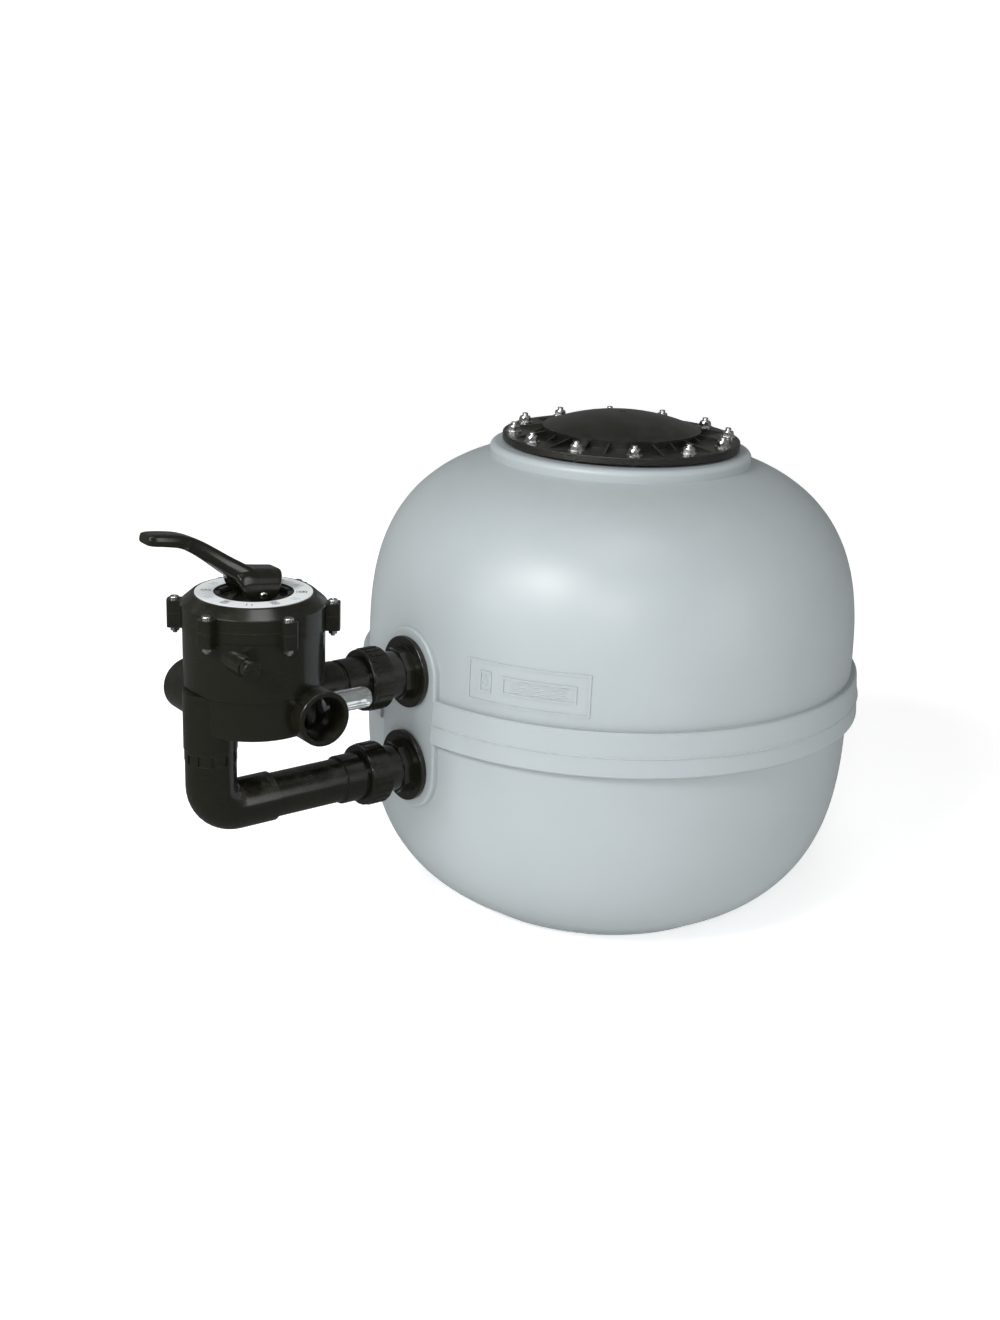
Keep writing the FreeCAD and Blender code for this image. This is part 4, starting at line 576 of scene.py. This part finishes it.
PLAQUE_FACING = 31.9      # degrees from -X towards -Y
PLAQUE_Z = 346.0 * MM
WAVES_SIDE = 14.0 * MM    # middle of the waves beside the frame's middle
WAVES_REACH = 34.0 * MM
WAVE_STEPS = 60
WAVE_PITCH = 4.6 * MM     # from one wave line to the next
WAVE_HEIGHT = 1.5 * MM
WAVES_PER_LINE = 3
DROP_SIDE = -50.0 * MM
DROP_STEPS = 32
DROP_WIDTH = 3.6 * MM
DROP_HEIGHT = 5.6 * MM
DROP_RISE = 1.0 * MM
RAY_START = 1.0           # metres outside the tank's axis, well clear of the wall


def on_wall(tree, side, z):
    """Point on the tank's wall in front of the plaque; side is measured along the wall."""
    t = math.radians(PLAQUE_FACING)
    out = Vector((-math.cos(t), -math.sin(t), 0.0))
    along = Vector((math.sin(t), -math.cos(t), 0.0))
    start = out * RAY_START + along * side + UP * z
    return tree.ray_cast(start, -out)[0]


def wave_line(bm, tree, z_middle, half):
    """One wave line, thinner at both ends."""
    points = []
    for k in range(WAVE_STEPS + 1):
        share = k / WAVE_STEPS * 2.0 - 1.0
        z = z_middle + WAVE_HEIGHT * math.sin(share * WAVES_PER_LINE * math.pi)
        points.append(on_wall(tree, WAVES_SIDE + share * WAVES_REACH, z))
    tube_along(bm, points, lambda k: half * min(1.0, 0.25 + 0.2 * min(k, WAVE_STEPS - k)), 8)


def drop_outline(bm, tree, half):
    points = []
    for k in range(DROP_STEPS):
        t = 2.0 * math.pi * k / DROP_STEPS
        wide = DROP_WIDTH * math.sin(t) * math.sin(t / 2.0)
        z = PLAQUE_Z + DROP_RISE + DROP_HEIGHT * math.cos(t)
        points.append(on_wall(tree, DROP_SIDE + wide, z))
    tube_along(bm, points, half, 8, closed=True)


def plaque_waves():
    """Three plain wave lines and a drop, moulded on the tank inside the raised frame."""
    bm = bmesh.new()
    tree = wall_tree()
    half = sizes().relief
    for row in (-1, 0, 1):
        wave_line(bm, tree, PLAQUE_Z + row * WAVE_PITCH, half)
    drop_outline(bm, tree, 0.8 * half)
    obj = mesh_object("plaque_waves", bm, material_of("tank_grey_moulded", tank_plastic))
    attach(obj, "tank")


STUD_COUNT = 12
STUD_START = math.radians(26.0)      # from -X towards -Y
STUD_CIRCLE = 130.0 * MM


def threaded_studs():
    """The lid's studs with their threads, in place of the plain ones."""
    bm = bmesh.new()
    size = sizes()
    low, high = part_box("lid_studs")
    for k in range(STUD_COUNT):
        t = STUD_START + 2.0 * math.pi * k / STUD_COUNT
        centre = Vector((-math.cos(t), -math.sin(t), 0.0)) * STUD_CIRCLE
        threaded_rod(bm, centre, low.z, high.z, size.stud_radius, size.thread_pitch, size.thread_depth)
    obj = mesh_object("threaded_studs", bm, material_of("bright_steel", steel))
    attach(obj, "tank")
    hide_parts("lid_studs")


# Sockets that a pipe enters: the pipe in each, and the way that the socket faces along X.
BEADS = (
    ("lower_tailpiece", "lower_pipe", -1),
    ("riser_elbow", "lower_pipe", 1),
    ("upper_tailpiece", "upper_nipple", -1),
)
BEAD_STEPS = 72
BEAD_OUT = 0.2 * MM       # bead's middle outside a level socket's face
BEAD_DOWN = 0.1 * MM      # and below the elbow's upper face


def bead_places():
    """Middle of each glued joint, with the two directions that its bead goes round in."""
    places = []
    for node, pipe, side in BEADS:
        low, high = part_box(node)
        x = low.x - BEAD_OUT if side < 0 else high.x + BEAD_OUT
        places.append((Vector((x, 0.0, middle(pipe).z)), ACROSS, UP))
    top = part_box("riser_elbow")[1].z - BEAD_DOWN
    places.append((Vector((middle("riser_adapter").x, 0.0, top)), ALONG, ACROSS))
    return places


def bead_size(k, n, bead):
    """Half thickness at step k of bead n, which swells unevenly round the pipe."""
    t = 2.0 * math.pi * k / BEAD_STEPS
    return bead * (0.75 + 0.22 * math.sin(3 * t + n) + 0.14 * math.sin(7 * t + 2 * n))


def cement_beads():
    """Uneven beads of cement where the pipes enter their sockets."""
    bm = bmesh.new()
    bead = sizes().bead
    pipe_low, pipe_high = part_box("lower_pipe")
    radius = (pipe_high.z - pipe_low.z) / 2 + 0.25 * bead
    for n, (centre, first, second) in enumerate(bead_places()):
        points = []
        for k in range(BEAD_STEPS):
            t = 2.0 * math.pi * k / BEAD_STEPS
            points.append(centre + (first * math.cos(t) + second * math.sin(t)) * radius)
        tube_along(bm, points, lambda k, n=n: bead_size(k, n, bead), 8, closed=True)
    obj = mesh_object("cement_beads", bm, material_of("pipe_cement", cement))
    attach(obj, "tank")


SPRING_STEPS = 36         # points to one turn
CLOSED_TURNS = 0.9        # at each end, lying almost flat


def coil_spring():
    """Rotor's spring with closed ends; it stands under the cover."""
    bm = bmesh.new()
    low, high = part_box("rotor_spring")
    wire = sizes().spring_wire
    turns = sizes().spring_turns
    radius = (high.x - low.x) / 2 - wire
    bottom, top = low.z + wire, high.z - wire
    end_rise = 0.35 * wire
    total = turns + 2.0 * CLOSED_TURNS
    steps = int(total * SPRING_STEPS)
    points = []
    for k in range(steps + 1):
        turn = total * k / steps
        free = min(max((turn - CLOSED_TURNS) / turns, 0.0), 1.0)
        flat = (min(turn, CLOSED_TURNS) + max(turn - CLOSED_TURNS - turns, 0.0)) / CLOSED_TURNS
        z = bottom + (top - bottom - 2.0 * end_rise) * free + end_rise * flat
        t = 2.0 * math.pi * turn
        points.append(Vector((VALVE_X + radius * math.cos(t), radius * math.sin(t), z)))
    tube_along(bm, points, wire, 12)
    obj = mesh_object("coil_spring", bm, material_of("spring_wire", spring_steel))
    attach(obj, "tank")
    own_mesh(obj)
    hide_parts("rotor_spring")


# Printed symbols: each is a list of strokes, in the unit square of its place on the label.
SYMBOLS = (
    (("box", 0.0, 0.0, 0.42, 0.40), ("line", 0.0, 0.55, 0.0, -0.20), ("arrow", 0.0, -0.28, -90.0)),
    (("box", 0.0, 0.0, 0.42, 0.40), ("line", 0.0, -0.35, 0.0, 0.30), ("arrow", 0.0, 0.42, 90.0)),
    (("box", 0.0, 0.0, 0.42, 0.40), ("line", -0.28, 0.0, 0.20, 0.0), ("arrow", 0.30, 0.0, 0.0)),
    (("line", -0.42, 0.12, 0.30, 0.12), ("line", -0.42, -0.12, 0.30, -0.12), ("arrow", 0.42, 0.0, 0.0)),
    (("ring", 0.0, 0.0, 0.34), ("line", -0.24, -0.24, 0.24, 0.24)),
    (("ring", 0.0, 0.0, 0.30), ("line", 0.0, 0.30, 0.0, 0.55), ("line", 0.0, -0.30, 0.0, -0.55)),
)


# Plain rules on the side of each symbol nearest the lever: height in its place, and half length.
RULES = ((-0.95, 0.75), (-0.77, 0.51), (-0.59, 0.63))

LABEL_LOW, LABEL_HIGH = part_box("position_label")
LABEL_OUTER = (LABEL_HIGH.x - LABEL_LOW.x) / 2
LABEL_INNER = 42.8 * MM
PLACE_RADIUS = (LABEL_OUTER + LABEL_INNER) / 2
SYMBOL_FILL = 0.78        # share of the label's half width that a place takes up
PLACE_UNIT = (LABEL_OUTER - LABEL_INNER) / 2 * SYMBOL_FILL
PLACE_START = 26.0        # degrees from -X towards -Y
PLACE_STEP = 360.0 / len(SYMBOLS)
DIVIDER_SIDE = 27.0       # degrees from the middle of a place
DIVIDER_REACH = 0.55
ARROW_BARB = 0.24
INK_GAP = 0.02 * MM
INK_THICK = 0.05 * MM


def label_place(angle, x, y):
    """Point on the label: x runs round it and y runs outwards, from the middle of a place."""
    r = PLACE_RADIUS + y * PLACE_UNIT
    t = math.radians(angle) + x * PLACE_UNIT / PLACE_RADIUS
    return Vector((VALVE_X - r * math.cos(t), -r * math.sin(t), LABEL_HIGH.z + INK_GAP))


def stroke(bm, points, width, closed=False):
    """Flat ribbon through points on the label, as thick as ink."""
    count = len(points)
    thick = UP * INK_THICK
    sides = []
    for k, point in enumerate(points):
        before = points[k - 1] if closed or k else point
        after = points[(k + 1) % count] if closed or k < count - 1 else point
        way = (after - before).normalized()
        out = Vector((-way.y, way.x, 0.0)) * width / 2
        corners = (point - out, point + out, point + out + thick, point - out + thick)
        sides.append([bm.verts.new(c) for c in corners])
    if closed:
        sides.append(sides[0])
    bridge(bm, sides, not closed)


def divided(corners, steps):
    """Corners of straight runs, with each run divided into steps."""
    points = []
    for (x0, y0), (x1, y1) in zip(corners, corners[1:]):
        for k in range(steps):
            points.append((x0 + (x1 - x0) * k / steps, y0 + (y1 - y0) * k / steps))
    return points + [corners[-1]]


def symbol_strokes(symbol):
    """Strokes of one symbol: points, share of the line's width, and whether the stroke is closed."""
    for kind, *n in symbol:
        if kind == "box":
            x, y, w, h = n
            corners = [(x - w, y - h), (x + w, y - h), (x + w, y + h), (x - w, y + h), (x - w, y - h)]
            yield divided(corners, 4)[:-1], 1.0, True
        elif kind == "ring":
            x, y, r = n
            turns = [k * math.pi / 12 for k in range(24)]
            yield [(x + r * math.cos(t), y + r * math.sin(t)) for t in turns], 1.0, True
        elif kind == "line":
            x0, y0, x1, y1 = n
            yield divided([(x0, y0), (x1, y1)], 4), 1.0, False
        else:
            x, y, way = n
            for turn in (150.0, 210.0):
                t = math.radians(way + turn)
                barb = (x + ARROW_BARB * math.cos(t), y + ARROW_BARB * math.sin(t))
                yield [(x, y), barb], 1.3, False
    for y, half in RULES:
        yield divided([(-half, y), (half, y)], 6), 0.45, False


def label_marks():
    """Symbols and dividing lines printed on the position label."""
    bm = bmesh.new()
    line = sizes().mark_line
    for place, symbol in enumerate(SYMBOLS):
        angle = PLACE_START + PLACE_STEP * place
        for points, share, closed in symbol_strokes(symbol):
            stroke(bm, [label_place(angle, x, y) for x, y in points], share * line, closed)
        for side in (-DIVIDER_SIDE, DIVIDER_SIDE):
            ends = [label_place(angle + side, 0.0, y) for y in (-DIVIDER_REACH, DIVIDER_REACH)]
            stroke(bm, ends, 0.7 * line)
    obj = mesh_object("label_marks", bm, material_of("label_ink", label_ink), smooth=False)
    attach(obj, "tank")


# Lever's arm, in mm: distance from the pin, rise above it, slope in degrees, half width, half thickness.
ARM = (
    (-6.0, 10.0, 26.0, 19.0, 10.5),
    (8.0, 17.0, 32.0, 18.2, 10.8),
    (22.0, 25.5, 35.0, 15.6, 10.6),
    (36.0, 35.0, 36.0, 13.0, 9.6),
    (50.0, 45.0, 35.0, 11.2, 8.8),
    (64.0, 54.4, 31.0, 10.3, 8.2),
    (76.0, 61.0, 24.0, 10.6, 7.6),
    (84.0, 64.6, 17.0, 12.6, 7.2),
    (92.0, 67.0, 11.0, 13.6, 6.9),
    (106.0, 69.4, 7.0, 13.9, 6.6),
    (118.0, 70.8, 6.0, 13.6, 6.2),
    (124.5, 71.4, 6.0, 12.2, 5.2),
)
# Fork's outline from the side, in mm from the pin.
FORK = (
    (-9.4, -6.7), (9.4, -6.7), (14.0, -4.8), (17.5, -0.5), (20.5, 6.0), (24.5, 12.5), (28.0, 18.0),
    (27.0, 27.0), (16.0, 29.5), (4.0, 27.6), (-10.0, 25.6), (-22.0, 24.0), (-26.0, 23.2), (-26.2, 20.0),
    (-24.8, 8.0), (-21.5, 0.0), (-16.0, -5.2),
)
ARM_SIDES = 44
ARM_POWER = 2.0 / 5.5     # power that makes a section a rounded box
ARM_TAPER = 0.10          # a section's top is this much narrower than its middle
FORK_HALF = 20.9 * MM
FORK_FLAT = 0.40          # share of the fork's half width that isn't rounded
FORK_SHARES = (0.0, FORK_FLAT, 0.55, 0.68, 0.79, 0.88, 0.95, 1.0)
CHEEK_DROP = 0.42         # shares that a cheek's outside draws in, from above,
CHEEK_BACK = 0.24         # from behind
CHEEK_FRONT = 0.16        # and from the front
HEEL = 6.7 * MM           # flat heel below the pin's axis
PIN_BORE = 4.1 * MM
SLOT_FRONT = 22.5 * MM    # ends, foot and roof of the slot, from the pin's axis
SLOT_BACK = -16.5 * MM
SLOT_FOOT = -12.0 * MM
SLOT_ROOF = 15.0 * MM
SHARP_ANGLE = math.radians(38.0)


def lever_point(u, across, rise):
    return Vector((PIN.x - u, across, PIN.z + rise))


def arm_mesh(bm):
    """Arm and grip: rounded-box sections along a smooth line."""
    rings = []
    for u, rise, slope, wide, thick in catmull(ARM, 5):
        t = math.radians(slope)
        ring = []
        for i in range(ARM_SIDES):
            a = 2.0 * math.pi * i / ARM_SIDES
            c, s = math.cos(a), math.sin(a)
            across = math.copysign(abs(c) ** ARM_POWER, c) * wide * MM
            up = math.copysign(abs(s) ** ARM_POWER, s) * thick * MM
            across *= 1.0 - ARM_TAPER * max(0.0, up) / (thick * MM)
            base = lever_point(u * MM, across, rise * MM)
            ring.append(bm.verts.new(base + Vector((up * math.sin(t), 0.0, up * math.cos(t)))))
        rings.append(ring)
    bridge(bm, rings)


def fork_mesh(bm):
    """Block that the slot divides into two cheeks; it rounds down and in towards their outsides."""
    outline = catmull(FORK + FORK[:1], 4)[:-1]
    base = min(rise for _, rise in outline)
    rings = []
    for share in [-x for x in reversed(FORK_SHARES[1:])] + list(FORK_SHARES):
        over = max(0.0, abs(share) - FORK_FLAT) / (1.0 - FORK_FLAT)
        round_off = 1.0 - math.sqrt(max(0.0, 1.0 - over * over))
        ring = []
        for u, rise in outline:
            height = base + (rise - base) * (1.0 - CHEEK_DROP * round_off)
            reach = u * (1.0 - (CHEEK_BACK if u < 0.0 else CHEEK_FRONT) * round_off)
            ring.append(bm.verts.new(lever_point(reach * MM, share * FORK_HALF, height * MM)))
        rings.append(ring)
    bridge(bm, rings)


def slot_cutter():
    """Box that leaves room for the stem between the cheeks."""
    half = sizes().pin_slot
    low = lever_point(SLOT_FRONT, -half, SLOT_FOOT)
    high = lever_point(SLOT_BACK, half, SLOT_ROOF)
    bm = bmesh.new()
    bmesh.ops.create_cube(bm, size=1.0)
    for v in bm.verts:
        v.co = Vector((low[i] + (v.co[i] + 0.5) * (high[i] - low[i]) for i in range(3)))
    return mesh_object("slot_cutter", bm, material_of("handle_black", handle_plastic))


def pin_cutter():
    """Rod along the pin, longer than the fork is wide."""
    bm = bmesh.new()
    place = Matrix.Translation(PIN) @ Matrix.Rotation(math.pi / 2, 4, "X")
    bmesh.ops.create_cone(
        bm, cap_ends=True, segments=40, radius1=PIN_BORE, radius2=PIN_BORE, depth=0.1, matrix=place
    )
    return mesh_object("pin_cutter", bm, material_of("handle_black", handle_plastic))


def cut_away(obj, cutter):
    modify(obj, "BOOLEAN", operation="DIFFERENCE", object=cutter, solver="EXACT")
    bpy.data.objects.remove(cutter)


def flatten_heel(obj):
    """Lifts what the blending left below the flat heel up to it."""
    bm = bmesh.new()
    bm.from_mesh(obj.data)
    for v in bm.verts:
        v.co.z = max(v.co.z, PIN.z - HEEL)
    bm.to_mesh(obj.data)
    bm.free()


def lever_handle():
    """Lever with its fork, blended into one moulding, then slotted and bored for the pin."""
    bm = bmesh.new()
    arm_mesh(bm)
    fork_mesh(bm)
    obj = mesh_object("lever_handle", bm, material_of("handle_black", handle_plastic))
    modify(obj, "REMESH", mode="VOXEL", voxel_size=sizes().lever_voxel)
    modify(obj, "SMOOTH", factor=0.6, iterations=6)
    cut_away(obj, slot_cutter())
    cut_away(obj, pin_cutter())
    flatten_heel(obj)
    for polygon in obj.data.polygons:
        polygon.use_smooth = True
    obj.data.set_sharp_from_angle(angle=SHARP_ANGLE)
    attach(obj, "handle")
    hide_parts("handle")


# ---------------------------------------------------------------- operators
class FILTER_OT_tank(Operator):
    """Finish the two tank shells and add the relief on the plaque"""
    bl_idname = "filter.tank"
    bl_label = "Tank shells"

    def execute(self, context):
        dress(("tank_lower_shell", "tank_upper_shell"), material_of("tank_grey_moulded", tank_plastic))
        plaque_waves()
        return {"FINISHED"}


class FILTER_OT_lid(Operator):
    """Finish the lid and its gasket"""
    bl_idname = "filter.lid"
    bl_label = "Lid"

    def execute(self, context):
        dress(("lid",), material_of("lid_black_moulded", lid_plastic))
        dress(("lid_gasket",), material_of("black_rubber", rubber))
        return {"FINISHED"}


class FILTER_OT_fixings(Operator):
    """Finish nuts, washers and screws, and cut the threads of the lid's studs"""
    bl_idname = "filter.fixings"
    bl_label = "Studs, nuts and screws"

    def execute(self, context):
        fixings = ("lid_nuts", "lid_washers", "cover_screws", "cover_nuts", "spring_washer")
        dress(fixings, material_of("bright_steel", steel))
        threaded_studs()
        return {"FINISHED"}


class FILTER_OT_unions(Operator):
    """Finish the tank connectors, union nuts and their seals"""
    bl_idname = "filter.unions"
    bl_label = "Connectors and unions"

    def execute(self, context):
        black = material_of("fitting_black", black_plastic)
        seal = material_of("black_rubber", rubber)
        for level in ("upper", "lower"):
            parts = ("tank_connector", "locknut", "union_nut", "tailpiece")
            dress([level + "_" + part for part in parts], black)
            parts = ("connector_seal", "inner_seal", "union_o_ring")
            dress([level + "_" + part for part in parts], seal)
        return {"FINISHED"}


class FILTER_OT_pipes(Operator):
    """Finish the pipes between tank and valve and lay the cement beads"""
    bl_idname = "filter.pipes"
    bl_label = "Outer pipes"

    def execute(self, context):
        pipes = ("upper_nipple", "lower_pipe", "riser_elbow")
        dress(pipes, material_of("pipe_black_extruded", pipe_plastic))
        dress(("riser_adapter",), material_of("fitting_black", black_plastic))
        cement_beads()
        return {"FINISHED"}


class FILTER_OT_valve(Operator):
    """Finish the valve's body and cover, its seals and the gauge plug"""
    bl_idname = "filter.valve"
    bl_label = "Selector valve"

    def execute(self, context):
        dress(("valve_body", "valve_cover"), material_of("valve_black", valve_plastic))
        dress(("gauge_plug",), material_of("fitting_black", black_plastic))
        dress(("cover_o_ring", "gauge_plug_o_ring"), material_of("black_rubber", rubber))
        return {"FINISHED"}


class FILTER_OT_label(Operator):
    """Finish the position label and print its symbols"""
    bl_idname = "filter.label"
    bl_label = "Position label"

    def execute(self, context):
        dress(("position_label",), material_of("label_film", label_film))
        label_marks()
        return {"FINISHED"}


class FILTER_OT_rotor(Operator):
    """Finish the rotor, its gasket and washers, and wind its spring"""
    bl_idname = "filter.rotor"
    bl_label = "Rotor and spring"

    def execute(self, context):
        dress(("rotor",), material_of("fitting_black", black_plastic))
        dress(("spider_gasket", "stem_o_ring"), material_of("black_rubber", rubber))
        dress(("slip_washer",), material_of("valve_black", valve_plastic))
        coil_spring()
        return {"FINISHED"}


class FILTER_OT_handle(Operator):
    """Model the lever handle and finish its pin"""
    bl_idname = "filter.handle"
    bl_label = "Lever handle"

    def execute(self, context):
        lever_handle()
        dress(("handle_pin",), material_of("pin_steel", polished_steel))
        return {"FINISHED"}


class FILTER_OT_glass(Operator):
    """Finish the sight glass and its ring"""
    bl_idname = "filter.glass"
    bl_label = "Sight glass"

    def execute(self, context):
        dress(("sight_glass",), material_of("clear_moulded", clear_plastic))
        dress(("sight_glass_o_ring",), material_of("black_rubber", rubber))
        return {"FINISHED"}


class FILTER_OT_drain(Operator):
    """Finish the drain plug and its seal"""
    bl_idname = "filter.drain"
    bl_label = "Drain"

    def execute(self, context):
        dress(("drain_plug",), material_of("fitting_black", black_plastic))
        dress(("drain_seal",), material_of("black_rubber", rubber))
        return {"FINISHED"}


class FILTER_OT_inner_pipes(Operator):
    """Finish the diffuser, the inner pipes and the collector"""
    bl_idname = "filter.inner_pipes"
    bl_label = "Inner pipes"

    def execute(self, context):
        white = material_of("inner_white", inner_plastic)
        dress(("upper_inner_pipe", "upper_inner_elbow", "diffuser_riser", "top_diffuser"), white)
        dress(("lower_inner_pipe", "lower_inner_elbow", "centre_pipe", "collector_hub", "laterals"), white)
        return {"FINISHED"}


FLOOR_GLOW = 0.48         # keeps the floor white under soft light


def studio_material(name):
    """Matt pale surface with a very faint mottle."""
    material, tree, shader = start_material(name)
    place = add_node(tree, "TexCoord").outputs["Object"]
    mottle = noise(tree, place, 3.0, 3.0)
    pale = tuple(colours().floor)
    tree.links.new(mix_colour(tree, mottle, pale, shade(pale, 0.985)), shader.inputs["Base Color"])
    tree.links.new(map_range(tree, mottle, 0.0, 1.0, 0.75, 0.85), shader.inputs["Roughness"])
    shader.inputs["Emission Color"].default_value = (1.0, 1.0, 1.0, 1.0)
    shader.inputs["Emission Strength"].default_value = FLOOR_GLOW
    return material


FLOOR_RADIUS = 4.4
FLOOR_CURVE = 1.6         # radius of the curve from the floor up to the wall
WALL_TOP = 2.6
FLOOR_SIDES = 96
CURVE_STEPS = 8


def studio_floor():
    """Round floor that curves up into a wall; it doesn't show in glossy reflections."""
    profile = [(0.001, 0.0), (FLOOR_RADIUS, 0.0)]
    for k in range(1, CURVE_STEPS + 1):
        t = 0.5 * math.pi * k / CURVE_STEPS
        profile.append((FLOOR_RADIUS + FLOOR_CURVE * math.sin(t), FLOOR_CURVE - FLOOR_CURVE * math.cos(t)))
    profile.append((FLOOR_RADIUS + FLOOR_CURVE, WALL_TOP))
    bm = bmesh.new()
    rings = []
    for r, z in profile:
        turns = [2.0 * math.pi * i / FLOOR_SIDES for i in range(FLOOR_SIDES)]
        rings.append([bm.verts.new((r * math.cos(t), r * math.sin(t), z)) for t in turns])
    bridge(bm, rings, False)
    floor = mesh_object("studio_floor", bm, material_of("studio_floor", studio_material))
    floor.visible_glossy = False


WORLD_LIGHT = 0.16
WORLD_SEEN = 1.0          # the background is white where it shows


def studio_world(scene):
    """White background that lights the object only a little."""
    scene.world = bpy.data.worlds.new("studio")
    scene.world.use_nodes = True
    tree = scene.world.node_tree
    sky = tree.nodes["Background"]
    path = add_node(tree, "LightPath")
    seen = map_range(tree, path.outputs["Is Camera Ray"], 0.0, 1.0, WORLD_LIGHT, WORLD_SEEN)
    tree.links.new(seen, sky.inputs["Strength"])
    sky.inputs["Color"].default_value = (1.0, 1.0, 1.0, 1.0)


# Lights: name, place, what each one is aimed at, width, height and watts.
LIGHTS = (
    ("key", (-3.3, -0.8, 2.7), (0.0, 0.0, 0.35), 1.3, 0.9, 125.0),
    ("front", (-2.3, -2.7, 2.0), (-0.3, 0.0, 0.4), 0.9, 0.6, 30.0),
    ("top", (-0.6, -0.9, 3.3), (0.0, 0.0, 0.35), 1.2, 1.2, 18.0),
    ("side", (0.9, -3.2, 1.3), (0.0, 0.0, 0.35), 0.5, 2.0, 12.0),
    ("edge", (-3.2, 0.4, 1.4), (-0.5, 0.0, 0.35), 0.4, 1.8, 16.0),
)


def area_light(name, place, aim, width, height, power):
    light = bpy.data.lights.new(name, "AREA")
    light.shape = "RECTANGLE"
    light.size = width
    light.size_y = height
    light.energy = power
    obj = bpy.data.objects.new(name, light)
    bpy.context.scene.collection.objects.link(obj)
    obj.location = place
    obj.rotation_euler = (Vector(aim) - Vector(place)).to_track_quat("-Z", "Y").to_euler()


CAMERA_PLACE = Vector((-1.3600, -1.5562, 0.9605))
CAMERA_WAY = Vector((0.5771, 0.7554, -0.3103))
CAMERA_ROLL = 2.19        # degrees
CAMERA_LENS = 46.89
CAMERA_SENSOR = 36.0
CAMERA_FAR = 60.0


def studio_camera(scene):
    """Camera that looks down at the valve's side of the filter, with a slight roll."""
    camera = bpy.data.cameras.new("camera")
    camera.lens = CAMERA_LENS
    camera.sensor_width = CAMERA_SENSOR
    camera.clip_end = CAMERA_FAR
    obj = bpy.data.objects.new("camera", camera)
    scene.collection.objects.link(obj)
    forward = CAMERA_WAY.normalized()
    level = forward.cross(UP).normalized()
    upright = level.cross(forward)
    roll = math.radians(CAMERA_ROLL)
    right = level * math.cos(roll) + upright * math.sin(roll)
    up = upright * math.cos(roll) - level * math.sin(roll)
    turn = Matrix((right, up, -forward)).transposed()
    obj.matrix_world = Matrix.Translation(CAMERA_PLACE) @ turn.to_4x4()
    scene.camera = obj


class FILTER_OT_stage(Operator):
    """Make the floor, the lights and the camera"""
    bl_idname = "filter.stage"
    bl_label = "Stage"

    def execute(self, context):
        studio_floor()
        studio_world(context.scene)
        for light in LIGHTS:
            area_light(*light)
        studio_camera(context.scene)
        context.scene.view_settings.view_transform = "Standard"
        return {"FINISHED"}


MAKERS = (
    FILTER_OT_tank, FILTER_OT_lid, FILTER_OT_fixings, FILTER_OT_unions, FILTER_OT_pipes,
    FILTER_OT_valve, FILTER_OT_label, FILTER_OT_rotor, FILTER_OT_handle, FILTER_OT_glass,
    FILTER_OT_drain, FILTER_OT_inner_pipes, FILTER_OT_stage,
)


class FILTER_PT_panel(Panel):
    """Sizes, colours and makers of the sand filter"""
    bl_idname = "FILTER_PT_panel"
    bl_label = "Sand filter"
    bl_space_type = "VIEW_3D"
    bl_region_type = "UI"
    bl_category = "Filter"

    def draw(self, context):
        for group in (context.scene.filter_sizes, context.scene.filter_colours):
            column = self.layout.column(align=True)
            for name in group.bl_rna.properties.keys():
                if name not in ("rna_type", "name"):
                    column.prop(group, name)
        for maker in MAKERS:
            self.layout.operator(maker.bl_idname)


CLASSES = (FilterSizes, FilterColours, *MAKERS, FILTER_PT_panel)


def register():
    for cls in CLASSES:
        bpy.utils.register_class(cls)
    bpy.types.Scene.filter_sizes = PointerProperty(type=FilterSizes)
    bpy.types.Scene.filter_colours = PointerProperty(type=FilterColours)


def unregister():
    del bpy.types.Scene.filter_sizes
    del bpy.types.Scene.filter_colours
    for cls in reversed(CLASSES):
        bpy.utils.unregister_class(cls)


def main():
    register()
    for maker in MAKERS:
        group, name = maker.bl_idname.split(".")
        getattr(getattr(bpy.ops, group), name)()


if __name__ == "__main__":
    main()
